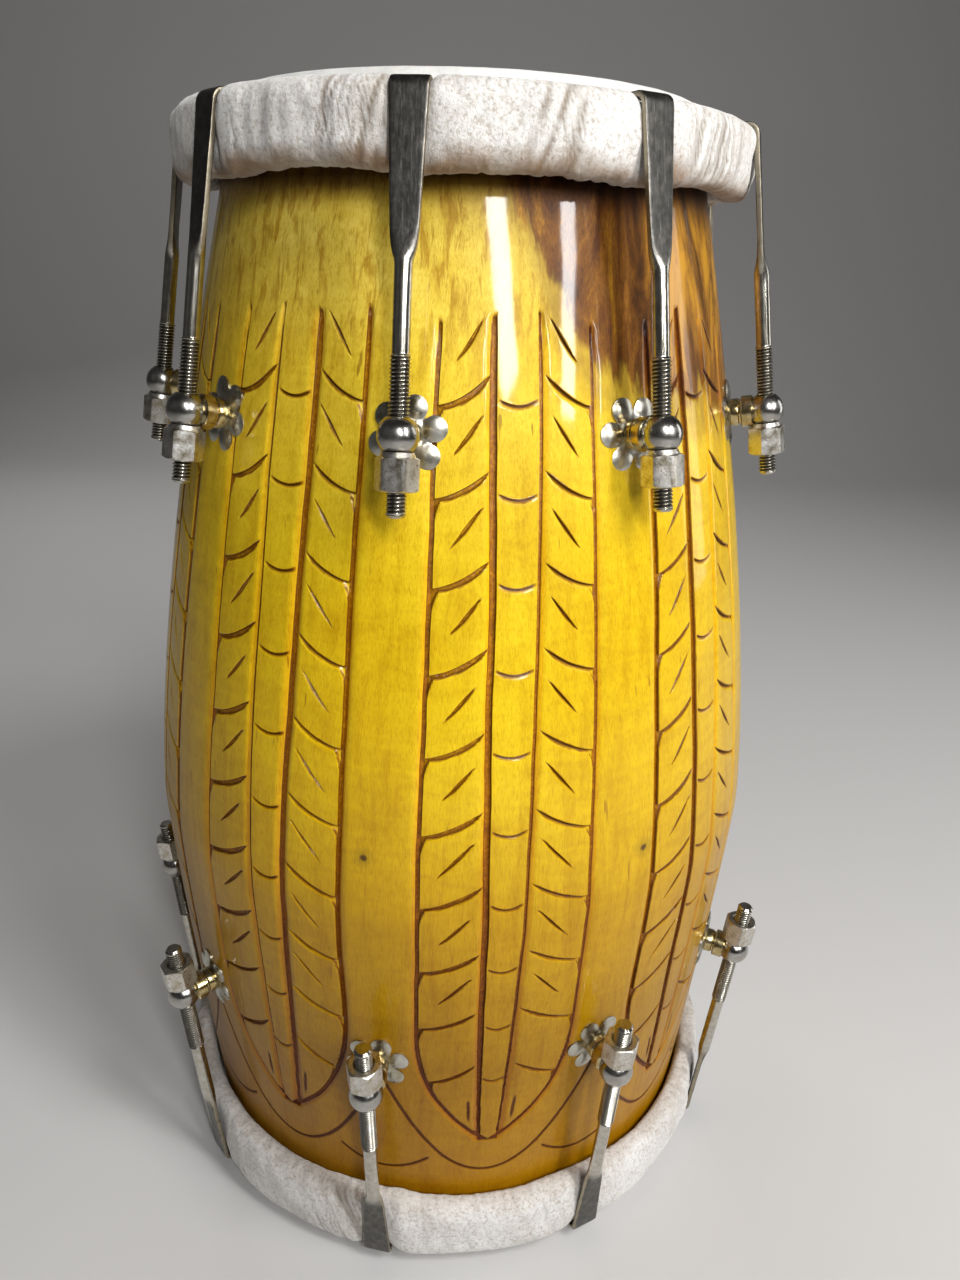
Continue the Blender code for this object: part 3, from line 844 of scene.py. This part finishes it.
# ---- rings and heads -----------------------------------------------------------------------
RING_COLUMNS = 900
RING_POINTS = 44             # round the ring's section
RING_SQUARENESS = 0.72       # 1 would make its section an ellipse
HOOK_STEP = 360 / HOOKS
PRESSED = 3.3                # degrees beside a hook's middle that its blade presses in
FULLEST = -29                # degrees round the drum where the wraps are fullest
SOIL_REACH = 0.0095          # how far up from its far edge a ring is soiled
HIDE_THICKNESS = 0.0009
HIDE_COLUMNS = 240


def belongs(piece, body, node):
    """Says which body a piece rides on, which node it replaces."""
    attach(piece, body)
    if node:
        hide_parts(node)


def near_hooks(end, angle):
    """1 under a hook's blade, falling to 0 beside it."""
    nearest = (angle - end.first_angle + HOOK_STEP / 2) % HOOK_STEP - HOOK_STEP / 2
    return np.exp(-(nearest / PRESSED) ** 4)


def squarish(wave):
    """Pushes a section from a circle towards a rounded square."""
    return np.sign(wave) * np.abs(wave) ** RING_SQUARENESS


def gathered_folds(a, along, full, seed):
    """Creases of the suede, which run from the near edge to the far one and lean a little."""
    gather = step(-0.15, 0.55, smooth_noise(a / 15, along * 0.5, seed + 4, 24))
    slant = 0.8 + 1.0 * smooth_noise(a / 30, 0.5, seed + 9, 12) + 2.0 * full
    leaning = (a - slant * along) % 360
    narrow = 1 - np.abs(smooth_noise(leaning / 0.8, along * 0.4, seed + 5, 450)) * 1.7
    wide = 1 - np.abs(smooth_noise(leaning / 1.5, along * 0.5, seed + 6, 240)) * 1.7
    crease = step(0.45, 1.0, narrow) * 0.6 + step(0.4, 1.0, wide) * 0.6
    return crease * (0.25 + 0.75 * gather)


def make_ring(end, material, bulge, seed):
    """The padded ring: a hoop in a suede wrap, squeezed by the hooks, with gathered folds."""
    angle = np.arange(RING_COLUMNS) * 360 / RING_COLUMNS
    turn = -np.arange(RING_POINTS)[:, None] * 2 * pi / RING_POINTS + pi / 2
    across, along = squarish(np.cos(turn)), squarish(np.sin(turn))
    outside = np.clip(across, 0, 1) ** 0.5
    near, far = step(-0.2, 1.0, along), step(-0.2, 1.0, -along)
    free = 1 - near_hooks(end, angle)
    a = angle[None, :]
    swell = np.cos(radians(1) * (a - FULLEST))
    full = 0.45 + 0.55 * swell ** 2 * (swell > 0)
    lump = smooth_noise(a / 6, along * 1.6 + 7, seed, 60)
    small_lump = smooth_noise(a / 2, along * 3 + 3, seed + 1, 180)
    crease = gathered_folds(a, along, full, seed) * outside

    radius = (end.ring_in + end.ring_out) / 2 + (end.ring_out - end.ring_in) / 2 * across
    radius = radius + outside * (bulge * (0.25 + full) * free + 0.0008 * lump * free
                                 + 0.0004 * small_lump)
    radius = radius - (1 - outside) * near * free * (0.0008 + 0.0022 * full)
    radius = radius - outside * (1 - free) * 0.0002 - 0.0008 * crease

    between = ((angle - end.first_angle) / HOOK_STEP) % HOOKS
    pull = 0.0019 + 0.0017 * lattice_value(np.floor(between).astype(np.int64), 0, seed + 7)
    edge_wave = (0.0010 * smooth_noise(a / 10, 0.5, seed + 2, 36)
                 + 0.0006 * smooth_noise(a / 4, 0.5, seed + 3, 90)
                 - pull * np.sin(between * pi) ** 2 + 0.0022)
    pebble = smooth_noise(a / 0.9, along * 9, seed + 8, 400) * step(0.1, 0.8, -along)
    depth = (end.ring_near + end.ring_far) / 2 - (end.ring_far - end.ring_near) / 2 * along
    depth = depth + far * edge_wave - near * (0.0010 + 0.0026 * full) * free + 0.00035 * pebble
    soil = np.clip((depth - end.ring_far + SOIL_REACH + 0.003 * lump) / SOIL_REACH, 0, 1) ** 1.5
    soil = soil * (1.0 if end.up else 0.35)

    # the rows of the lower ring run the other way, so that its faces look outwards too
    order = slice(None, None, 1 if end.up else -1)
    z = end.rim_z - depth if end.up else end.rim_z + depth
    ring = mesh_object(f"{end.name}_ring_wrap", revolved(radius[order], z[order], angle),
                       wrapped_faces(RING_POINTS, RING_COLUMNS, True), [material])
    set_values(ring.data, crease=crease[order], soil=soil[order])
    belongs(ring, "drum", f"{end.name}_ring")


def make_head(end, material):
    """The hide, stretched over the shell's mouth and down under the ring's upper edge."""
    mouth = float(shell_radius(end.rim_z))
    tuck = end.ring_in + 0.0022
    path = [(mouth * part, 0.0) for part in (0.0, 0.25, 0.5, 0.7, 0.85, 0.94, 0.98)]
    path += [(mouth + 0.0003, 0.00025), (mouth + 0.0016, 0.0009), (mouth + 0.0027, 0.0020)]
    path += [(mouth + 0.0027 + (tuck - mouth - 0.0027) * t, 0.0020 + (end.ring_near - 0.0008) * t)
             for t in (0.2, 0.4, 0.6, 0.8, 1.0)]
    angle = np.arange(HIDE_COLUMNS) * 360 / HIDE_COLUMNS
    a = angle[None, :]
    path_radius, path_depth = np.array(path).T
    radius = path_radius[:, None]
    slack = step(mouth - 0.001, mouth + 0.003, radius)
    depth = path_depth[:, None] + 0.00022 * smooth_noise(a / 3, radius / 0.004, 61, 120) * slack
    under = radius - HIDE_THICKNESS * step(mouth - 0.003, mouth + 0.003, radius) * 0.55
    sign = -1 if end.up else 1
    outer = revolved(radius + 0 * a, end.rim_z + sign * depth, angle)
    inner = revolved(under + 0 * a, end.rim_z + sign * (depth + HIDE_THICKNESS), angle)[::-1]
    inner = inner.reshape(len(path), HIDE_COLUMNS, 3)[:, ::-1].reshape(-1, 3)
    vertices = np.concatenate([outer[HIDE_COLUMNS:], inner[:-HIDE_COLUMNS],
                               [(0, 0, end.rim_z), (0, 0, end.rim_z + sign * HIDE_THICKNESS)]])
    rows = 2 * len(path) - 2
    tips = (len(vertices) - 2, len(vertices) - 1)
    faces = wrapped_faces(rows, HIDE_COLUMNS)
    faces += end_fans(tips, 0, (rows - 1) * HIDE_COLUMNS, HIDE_COLUMNS)
    head = mesh_object(f"{end.name}_head_hide", vertices, faces, [material])
    if not end.up:
        head.data.flip_normals()
    belongs(head, "drum", f"{end.name}_head")


# ---- hooks, nuts and lugs ------------------------------------------------------------------
BAR_POINTS = 32
THREAD_STEPS = 8             # sections in each turn of the thread
BLADE_STEPS = 8
BEND_STEPS = 8
BLADE_LOW_HALF_WIDTH = 0.0047
BLADE_SQUARENESS = 0.22
NUT_STEPS = 72
NUT_BORE = 0.0037
POST_COLUMNS = 48
BOLT_HOLE = 0.0040
HOLE_STEPS = 32
PETAL_RADIUS = 0.0044
PETAL_MIDDLE = 0.0094        # from the rosette's middle to a petal's
ROSETTE_STEPS = 120
ROSETTE_RINGS = 9
ROSETTE_BORE = 0.0045
BARREL_BEND = 0.55           # radius of the barrel's own curve, along the drum


def station_matrix(end, k):
    """The frame of one lug: X out along the lug, Z along the bolt towards the ring."""
    about = radians(end.first_angle) + 2 * pi * k / HOOKS - pi / 2
    bolt_radius = float(shell_radius(end.lug_z)) + STAND_OFF * cos(end.lean)
    rise = STAND_OFF * sin(end.lean)
    height = end.lug_z + rise if end.up else end.lug_z - rise
    flip = Matrix.Identity(4) if end.up else Matrix.Rotation(pi, 4, "X")
    return (Matrix.Rotation(about, 4, "Z") @ Matrix.Translation((bolt_radius, 0.0, height))
            @ flip @ Matrix.Rotation(-end.lean, 4, "Y"))


def bar_section(centre, across, half_width, half_thickness, squareness):
    """Points round a bar: a circle at squareness 1, a flat bar near 0.3."""
    turn = 2 * pi * (np.arange(BAR_POINTS) + 0.5) / BAR_POINTS
    c = np.sign(np.cos(turn)) * np.abs(np.cos(turn)) ** squareness
    s = np.sign(np.sin(turn)) * np.abs(np.sin(turn)) ** squareness
    points = np.outer(c * half_thickness, across) + np.asarray(centre)
    points[:, 1] += s * half_width
    return points


def thread_sections(first, last):
    """Sections of a right-handed screw thread that fades in at first and out at last, and how
    deep each of their points lies in it."""
    turn = (np.arange(BAR_POINTS) + 0.5) / BAR_POINTS
    sections, roots = [], []
    for s in np.arange(first, last, THREAD_PITCH / THREAD_STEPS):
        phase = (s / THREAD_PITCH - turn) % 1.0
        crest = np.clip(1.45 - np.abs(phase - 0.5) * 4.4, 0, 1)
        faded = min((s - first) / 0.0009, (last - s) / 0.0018, 1.0)
        radius = THREAD_RADIUS - THREAD_DEPTH * (1 - crest) * faded
        radius = radius - step(last - 0.0012, last, s) * (THREAD_RADIUS - SHANK_RADIUS)
        sections.append(circle(radius, s, 2 * pi * turn))
        roots.append((1 - crest) * max(faded, 0))
    return sections, roots


def shank_sections(end):
    """Sections from the thread to the flattened blade, each with how hammered it is."""
    start = end.blade_start
    bar = ((end.thread_top + 0.0012, SHANK_RADIUS, SHANK_RADIUS, 1.0, 0.0),
           (start - 0.004, SHANK_RADIUS, SHANK_RADIUS, 1.0, 0.0),
           (start - 0.001, SHANK_RADIUS, SHANK_RADIUS, 1.0, 0.1),
           (start + 0.0008, 0.0031, 0.0028, 0.92, 0.3),
           (start + 0.0024, 0.0036, 0.0024, 0.75, 0.6),
           (start + 0.0045, 0.0041, 0.0018, 0.55, 0.9),
           (start + 0.0070, 0.0044, 0.0014, 0.38, 1.0),
           (start + 0.0100, 0.0046, 0.0012, 0.28, 1.0))
    sections = [bar_section((0, 0, s), (1, 0, 0), *shape) for s, *shape, _ in bar]
    return sections, [row[-1] for row in bar]


def blade_sections(end):
    """Sections of the blade, its bend over the ring and the claw."""
    claw_depth = end.ring_near - GAP - BLADE_HALF_THICKNESS
    claw_z = end.rim_z - claw_depth if end.up else end.rim_z + claw_depth
    rise = abs(claw_z - station_matrix(end, 0).translation.z)
    bend = pi / 2 - end.lean
    top = ((rise + BEND_RADIUS * (1 - cos(bend)) * sin(end.lean)) / cos(end.lean)
           - BEND_RADIUS * sin(bend))
    low = end.blade_start + 0.0125
    sections = []
    for i in range(BLADE_STEPS):
        part = i / BLADE_STEPS
        width = BLADE_LOW_HALF_WIDTH + (BLADE_HALF_WIDTH - BLADE_LOW_HALF_WIDTH) * part
        wobble = 0.00012 * float(smooth_noise(i * 0.9, 0.5, 71))
        sections.append(bar_section((wobble, 0, low + (top - low) * part), (1, 0, 0), width,
                                    BLADE_HALF_THICKNESS, BLADE_SQUARENESS))
    for i in range(BEND_STEPS + 1):
        turn = bend * i / BEND_STEPS
        centre = np.array([-BEND_RADIUS * (1 - cos(turn)), 0, top + BEND_RADIUS * sin(turn)])
        across = (cos(turn), 0, sin(turn))
        sections.append(bar_section(centre, across, BLADE_HALF_WIDTH, BLADE_HALF_THICKNESS,
                                    BLADE_SQUARENESS))
    forward = np.array([-sin(bend), 0, cos(bend)])
    for reach, size in ((0.6, 0.98), (0.97, 0.92), (1.0, 0.86)):
        sections.append(bar_section(centre + forward * CLAW_LENGTH * reach, across,
                                    BLADE_HALF_WIDTH * size, BLADE_HALF_THICKNESS * size, 0.25))
    return sections


def hook_mesh(end):
    """One forging: threaded end, round shank, hammered blade and the claw over the ring."""
    sections = [bar_section((0, 0, s - BOLT_TIP), (1, 0, 0), r, r, 1.0)
                for r, s in ((0.0018, 0.0), (0.0027, 0.0), (0.0033, 0.0007))]
    thread, roots = thread_sections(-BOLT_TIP + 0.0009, end.thread_top + 0.0008)
    shank, hammered = shank_sections(end)
    blade = blade_sections(end)
    marks = [0.0] * (len(sections) + len(thread)) + hammered + [1.0] * len(blade)
    root = np.zeros((len(marks), BAR_POINTS))
    root[len(sections):len(sections) + len(thread)] = roots
    sections += thread + shank + blade
    hook = mesh_object(f"{end.name}_hook_mesh", np.concatenate(sections),
                       capped_tube(len(sections), BAR_POINTS))
    hook.data.flip_normals()
    sideways = np.abs(np.array(sections)[:, :, 1])
    set_values(hook.data, blade=np.repeat(marks, BAR_POINTS),
               edge=sideways / sideways.max(1, keepdims=True), root=root)
    return take_mesh(hook, sharp_from=42)


def nut_mesh():
    """A chamfered hexagon nut with a cupped seat that fits under the lug's ball."""
    turn = full_turn(NUT_STEPS)
    off_flat = (turn + pi / 6) % (pi / 3) - pi / 6
    hexagon = np.minimum(NUT_APOTHEM / np.cos(off_flat), NUT_APOTHEM * 1.135)
    shoulder = NUT_APOTHEM * 0.97
    top, bottom = -NUT_SEAT, -NUT_SEAT - NUT_HEIGHT
    cone = (hexagon - shoulder) * 0.55 + 0.00008
    rings = [(NUT_BORE, bottom + 0.004), (NUT_BORE, bottom + 0.0007), (0.0043, bottom),
             (shoulder, bottom), (hexagon, bottom + cone), (hexagon, top - cone), (shoulder, top),
             (0.0059, top), (0.0053, top + 0.0015), (0.0041, top + 0.0008), (NUT_BORE, top + 0.0003)]
    nut = mesh_object("nut", np.concatenate([circle(r, z, turn) for r, z in rings]),
                      wrapped_faces(len(rings), NUT_STEPS, True))
    nut.data.flip_normals()
    return take_mesh(nut, sharp_from=10)


def post_mesh():
    """A turned post: ball, two collars with a groove between, drilled for the bolt."""
    arc = [radians(a) for a in range(80, -41, -10)]
    profile = [(BALL_RADIUS * cos(a), BALL_RADIUS * sin(a)) for a in arc]
    profile += [(0.0056, -0.0048), (0.0060, -0.0050), (0.0063, -0.0054), (0.0063, -0.0091),
                (0.0059, -0.0095), (0.0049, -0.0097), (0.0049, -0.0102), (0.0053, -0.0105),
                (0.0055, -0.0109), (0.0055, -0.0134), (0.0051, -0.0138), (0.0051, -0.0156)]
    vertices = [(BALL_RADIUS, 0, 0)]
    for radius, x in profile:
        vertices += [(x, radius * cos(t), radius * sin(t)) for t in full_turn(POST_COLUMNS)]
    vertices.append((profile[-1][1], 0, 0))
    last = len(vertices) - 1
    faces = [[corner + 1 for corner in face] for face in wrapped_faces(len(profile), POST_COLUMNS)]
    faces += end_fans((0, last), 1, last - POST_COLUMNS, POST_COLUMNS)
    post = mesh_object("post", vertices, faces)
    turn = full_turn(HOLE_STEPS)
    ends = np.concatenate([circle(BOLT_HOLE, z, turn) for z in (-0.012, 0.012)])
    drill = mesh_object("drill", ends, capped_tube(2, HOLE_STEPS))
    for obj in (post, drill):
        make_outward(obj.data)
    cut = post.modifiers.new("bolt hole", "BOOLEAN")
    cut.operation, cut.solver, cut.object = "DIFFERENCE", "EXACT", drill
    bpy.context.view_layer.update()
    mesh = bpy.data.meshes.new_from_object(post.evaluated_get(bpy.context.evaluated_depsgraph_get()))
    for obj in (post, drill):
        bpy.data.objects.remove(obj, do_unlink=True)
    x = np.array([v.co.x for v in mesh.vertices])
    set_values(mesh, collar=step(-0.0040, -0.0050, x))
    mesh.shade_smooth()
    mesh.set_sharp_from_angle(angle=radians(28))
    return mesh


def rosette_mesh(end, spin):
    """A pressed washer of six domed petals, bent to lie on the barrel."""
    turn = full_turn(ROSETTE_STEPS)
    off = (turn - spin + pi / 6) % (pi / 3) - pi / 6
    across = np.sqrt(np.maximum(PETAL_RADIUS ** 2 - (PETAL_MIDDLE * np.sin(off)) ** 2, 0))
    rim = PETAL_MIDDLE * np.cos(off) + across
    radius = ROSETTE_BORE + (rim - ROSETTE_BORE) * np.linspace(0, 1, ROSETTE_RINGS)[:, None]
    from_middle = np.hypot(radius * np.cos(off) - PETAL_MIDDLE, radius * np.sin(off))
    dome = 0.0010 * (1 - np.clip(from_middle / PETAL_RADIUS, 0, 1) ** 2)
    hub = 0.0007 * step(0.0075, 0.0050, radius)
    y, z = radius * np.cos(turn), radius * np.sin(turn)
    seat = -STAND_OFF - y ** 2 / 2 / float(shell_radius(end.lug_z)) - z ** 2 / 2 / BARREL_BEND
    front = np.stack([seat + 0.0005 + np.maximum(dome, hub), y, z], 2)
    back = np.stack([seat - 0.0004, y, z], 2)
    vertices = np.concatenate([front, back[-1:], back[:1]]).reshape(-1, 3)
    rosette = mesh_object("rosette", vertices, wrapped_faces(ROSETTE_RINGS + 2, ROSETTE_STEPS, True))
    make_outward(rosette.data)
    return take_mesh(rosette, sharp_from=40)


def place_piece(name, mesh, material, matrix, body, node):
    """A piece of hardware at its station."""
    piece = bpy.data.objects.new(name, mesh)
    bpy.context.scene.collection.objects.link(piece)
    if not mesh.materials:
        mesh.materials.append(material)
    piece.matrix_world = matrix
    belongs(piece, body, node)


def make_hardware(end, nut, post, looks):
    """Every hook, nut and lug of one end."""
    hook = hook_mesh(end)
    for k in range(HOOKS):
        n = k + 1
        place = station_matrix(end, k)
        turned = place @ Matrix.Rotation(NUT_ANGLE_STEP * k, 4, "Z")
        rosette = rosette_mesh(end, radians(17 + 41 * k))
        hook_body, nut_body, lug = (f"{end.name}_{part}_{n}" for part in ("hook", "nut", "lug"))
        place_piece(f"{end.name}_hook_bar_{n}", hook, looks["hook"], place, hook_body, hook_body)
        place_piece(f"{end.name}_hex_nut_{n}", nut, looks["nut"], turned, nut_body, nut_body)
        place_piece(f"{end.name}_lug_post_{n}", post, looks["lug"], place, "drum", lug)
        place_piece(f"{end.name}_rosette_{n}", rosette, looks["rosette"], place, "drum", None)


# ---- more materials ------------------------------------------------------------------------
def suede_look():
    """Whitish split hide with a loose nap, darkened in its folds by painted shade, and brown where it was
    handled.
    """
    n = Nodes("suede")
    crease, soil = n.attribute("crease"), n.attribute("soil")
    cloud = n.noise(28.0, None, 3.0)
    colour = n.ramp(cloud, (0.35, (0.60, 0.575, 0.54)), (0.62, (0.74, 0.73, 0.71)))
    nap = n.noise(620.0, None, 4.0, 0.75)
    colour = n.shade(colour, nap, (0.36, (0.66, 0.61, 0.55)), (0.49, (0.96, 0.95, 0.94)),
                     (0.64, (1.05, 1.05, 1.05)))
    hair = n.noise(1500.0, (1, 1, 0.5), 2.0, 0.6)
    colour = n.cover(colour, (0.36, 0.30, 0.24), hair, (0.30, 0.45), (0.40, 0.0))
    # painted shade in the folds
    colour = n.cover(colour, (0.24, 0.195, 0.15), crease, (0.08, 0.0), (0.8, 0.95))
    stain = n.times(soil, n.ramp(n.noise(60.0), (0.30, 0.5), (0.65, 1.0)))
    colour = n.cover(colour, (0.25, 0.15, 0.075), stain, (0.16, 0.0), (0.90, 0.90))
    fuzz = n.noise(1300.0, None, 3.0, 0.8)
    soft = n.bump(n.plus(nap, n.times(fuzz, 0.5)), 0.0006, 0.8)
    return n.surface(Base_Color=colour, Roughness=0.95, Normal=soft, Sheen_Weight=0.35,
                     Sheen_Roughness=0.5, Specular_IOR_Level=0.2)


def skin_look():
    """Cream hide, cloudy and fibrous, with fine pores."""
    n = Nodes("head_skin")
    cloud = n.noise(16.0, None, 4.0, 0.6, 0.5)
    colour = n.ramp(cloud, (0.30, (0.60, 0.57, 0.50)), (0.50, (0.68, 0.67, 0.64)),
                    (0.72, (0.75, 0.75, 0.73)))
    fibre = n.noise(170.0, (1, 0.18, 1), 4.0, 0.65, 0.8)
    colour = n.shade(colour, fibre, (0.35, 0.90), (0.60, 1.03))
    pores = n.noise(700.0, None, 2.0)
    colour = n.cover(colour, (0.42, 0.36, 0.28), pores, (0.66, 0.0), (0.76, 0.30))
    fine = n.bump(n.plus(fibre, n.times(pores, 0.4)), 0.0002, 0.35)
    return n.surface(Base_Color=colour, Roughness=n.ramp(cloud, (0.3, 0.52), (0.7, 0.68)),
                     Normal=fine, Subsurface_Weight=0.08, Subsurface_Scale=0.004)


def paste_look():
    """Dull black tuning paste."""
    n = Nodes("tuning_paste")
    grit = n.noise(240.0, None, 5.0, 0.7)
    colour = n.ramp(grit, (0.35, (0.012, 0.011, 0.010)), (0.65, (0.045, 0.041, 0.038)))
    return n.surface(Base_Color=colour, Roughness=n.ramp(grit, (0.3, 0.45), (0.7, 0.8)),
                     Normal=n.bump(grit, 0.0005, 0.6))


def hook_look():
    """Bright plated shank with grime in its thread, and a dark hammered blade with worn edges."""
    n = Nodes("hook_steel")
    blade, edge, root = n.attribute("blade"), n.attribute("edge"), n.attribute("root")
    mottled = n.noise(330.0, None, 4.0, 0.65)
    scratch = n.noise(900.0, (1, 1, 0.10), 2.0)
    dark = n.ramp(mottled, (0.34, (0.095, 0.092, 0.084)), (0.52, (0.125, 0.120, 0.110)),
                  (0.70, (0.18, 0.17, 0.155)))
    dark = n.cover(dark, (0.30, 0.28, 0.25), scratch, (0.60, 0.0), (0.74, 0.5))
    bright = n.ramp(mottled, (0.35, (0.44, 0.41, 0.34)), (0.65, (0.62, 0.60, 0.54)))
    worn = n.plus(edge, n.times(n.maths("SUBTRACT", mottled, 0.5), 0.12))
    dark = n.cover(dark, (0.46, 0.40, 0.29), worn, (0.955, 0.0), (0.995, 0.75))
    colour = n.mix(blade, bright, dark)
    colour = n.cover(colour, (0.030, 0.024, 0.016), root, (0.25, 0.0), (0.85, 0.93))
    rough = n.plus(n.times(blade, 0.20), n.ramp(scratch, (0.3, 0.16), (0.7, 0.28)))
    rough = n.plus(rough, n.times(root, 0.25))
    dents = n.bump(n.plus(n.times(mottled, blade), n.times(scratch, 0.3)), 0.00035, 0.45)
    return n.surface(Base_Color=colour, Metallic=1.0, Roughness=rough, Normal=dents)


def plated(name, cloud_scale, roughness, *stops):
    """The start of a cloudy metal: its nodes, the cloud and the colour that stops give it."""
    n = Nodes(name)
    cloud = n.noise(cloud_scale, None, 3.0)
    low, high = roughness
    n.surface(Metallic=1.0, Roughness=n.ramp(cloud, (0.3, low), (0.7, high)))
    return n, cloud, n.ramp(cloud, *stops)


def nut_look():
    """Zinc plate over a lightly pitted face, with a little brass tint."""
    n, _, colour = plated("nut_zinc", 260.0, (0.28, 0.42), (0.35, (0.48, 0.43, 0.32)),
                          (0.50, (0.66, 0.63, 0.57)), (0.70, (0.78, 0.77, 0.74)))
    pits = n.noise(1400.0, None, 3.0, 0.7)
    colour = n.cover(colour, (0.16, 0.14, 0.11), pits, (0.34, 0.75), (0.44, 0.0))
    return n.surface(Base_Color=colour, Normal=n.bump(pits, 0.00014, 0.5))


def lug_look():
    """Nickel ball and yellow-passivated collars."""
    n, cloud, silver = plated("lug_plate", 220.0, (0.16, 0.30), (0.35, (0.36, 0.35, 0.32)),
                              (0.65, (0.50, 0.49, 0.46)))
    gold = n.ramp(cloud, (0.35, (0.42, 0.31, 0.12)), (0.65, (0.66, 0.56, 0.33)))
    return n.surface(Base_Color=n.mix(n.attribute("collar"), silver, gold),
                     Normal=n.bump(n.noise(700.0, None, 2.0), 0.0001, 0.3))


def rosette_look():
    """Yellow-grey plate, gone cloudy."""
    n, _, colour = plated("rosette_plate", 180.0, (0.22, 0.40), (0.30, (0.34, 0.30, 0.20)),
                          (0.50, (0.50, 0.48, 0.41)), (0.70, (0.62, 0.61, 0.56)))
    return n.surface(Base_Color=colour, Normal=n.bump(n.noise(420.0, None, 2.0), 0.0002, 0.35))


# ---- build ---------------------------------------------------------------------------------
belongs(make_shell(lacquered_wood()), "drum", "shell")

suede, skin = suede_look(), skin_look()
make_ring(TREBLE, suede, bulge=0.0017, seed=100)
make_ring(BASS, suede, bulge=0.0013, seed=200)
make_head(TREBLE, skin)
make_head(BASS, skin)
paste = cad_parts["bass_paste"].data
paste.materials.clear()
paste.materials.append(paste_look())

looks = {"hook": hook_look(), "nut": nut_look(), "lug": lug_look(), "rosette": rosette_look()}
nut, post = nut_mesh(), post_mesh()
make_hardware(TREBLE, nut, post, looks)
make_hardware(BASS, nut, post, looks)


# ---- the camera, lights and floor ----------------------------------------------------------
CAMERA_PLACE = (0, -0.4334, 0.4189)
LENS_MM = 26.72
SENSOR_MM = 36.0
BACKDROP_Y = 1.6             # where the floor starts to curve up
BACKDROP_CURVE = 0.8
FLOOR_FRONT_Y = -2.5
BACKDROP_TOP = 3.2
FLOOR_HALF_WIDTH = 3.5
WORLD_COLOUR = (0.94, 0.90, 0.88, 1.0)
WORLD_STRENGTH = 0.045


def look_matrix(place, forward, roll):
    """A camera or lamp at place, looking along forward and rolled about it."""
    forward = Vector(forward).normalized()
    right = forward.cross(Vector((0, 0, 1))).normalized()
    up = right.cross(forward)
    turned_right = right * cos(roll) + up * sin(roll)
    turned_up = up * cos(roll) - right * sin(roll)
    matrix = Matrix((turned_right, turned_up, -forward)).transposed().to_4x4()
    matrix.translation = Vector(place)
    return matrix


def add_camera():
    """The camera at CAMERA_PLACE, looking down at the drum."""
    pitch, yaw, roll = radians(21.49), radians(1.547), radians(1.78)
    camera = bpy.data.objects.new("camera", bpy.data.cameras.new("camera"))
    bpy.context.scene.collection.objects.link(camera)
    camera.data.sensor_fit = "VERTICAL"
    camera.data.sensor_height = SENSOR_MM
    camera.data.lens = LENS_MM
    camera.data.clip_start = 0.01
    forward = (sin(yaw) * cos(pitch), cos(yaw) * cos(pitch), -sin(pitch))
    camera.matrix_world = look_matrix(CAMERA_PLACE, forward, roll)
    bpy.context.scene.camera = camera


LIT_POINT = Vector((0, 0, 0.30))
# name, azimuth from -Y towards +X, elevation, distance, width, height, power, roll, seen in reflections
LIGHTS = (
    ("tall_softbox", 14.5, 29.7, 1.15, 0.12, 0.46, 7, 20, True),
    ("second_softbox", 44, 27.5, 1.15, 0.11, 0.51, 6, -13, True),
    ("key", 46, 50, 1.6, 0.45, 0.40, 13, 0, False),
    ("right_edge", 100, 12, 1.3, 0.3, 0.9, 2.5, 0, True),
    ("left_fill", -60, 25, 1.8, 1.0, 1.0, 0.12, 0, True),
    ("back_fill", 200, 35, 1.8, 1.0, 1.0, 9, 0, False),
)


def add_light(name, azimuth, elevation, distance, width, height, power, roll, glossy):
    """A softbox that faces the drum."""
    lamp = bpy.data.lights.new(name, "AREA")
    lamp.shape, lamp.size, lamp.size_y = "RECTANGLE", width, height
    lamp.energy = power
    a, e = radians(azimuth), radians(elevation)
    out = Vector((sin(a) * cos(e), -cos(a) * cos(e), sin(e)))
    obj = bpy.data.objects.new(name, lamp)
    obj.visible_glossy = glossy
    obj.matrix_world = look_matrix(LIT_POINT + out * distance, -out, radians(roll))
    bpy.context.scene.collection.objects.link(obj)


def add_stage():
    """A pale floor that curves up into a backdrop."""
    profile = [(FLOOR_FRONT_Y, 0.0), (BACKDROP_Y, 0.0)]
    for bend in np.radians(range(9, 91, 9)):
        profile.append((BACKDROP_Y + BACKDROP_CURVE * sin(bend), BACKDROP_CURVE * (1 - cos(bend))))
    profile.append((BACKDROP_Y + BACKDROP_CURVE, BACKDROP_TOP))
    vertices = [(x, y, z) for y, z in profile for x in (-FLOOR_HALF_WIDTH, FLOOR_HALF_WIDTH)]
    faces = [(2 * i, 2 * i + 1, 2 * i + 3, 2 * i + 2) for i in range(len(profile) - 1)]
    n = Nodes("pale_floor")
    n.surface(Base_Color=(0.55, 0.54, 0.53), Roughness=0.7)
    floor = mesh_object("floor", vertices, faces, [n.material])
    world = bpy.data.worlds.new("studio")
    world.use_nodes = True
    background = world.node_tree.nodes["Background"]
    background.inputs["Color"].default_value = WORLD_COLOUR
    background.inputs["Strength"].default_value = WORLD_STRENGTH
    bpy.context.scene.world = world


add_camera()
add_stage()
for light in LIGHTS:
    add_light(*light)
bpy.context.scene.view_settings.view_transform = "Standard"
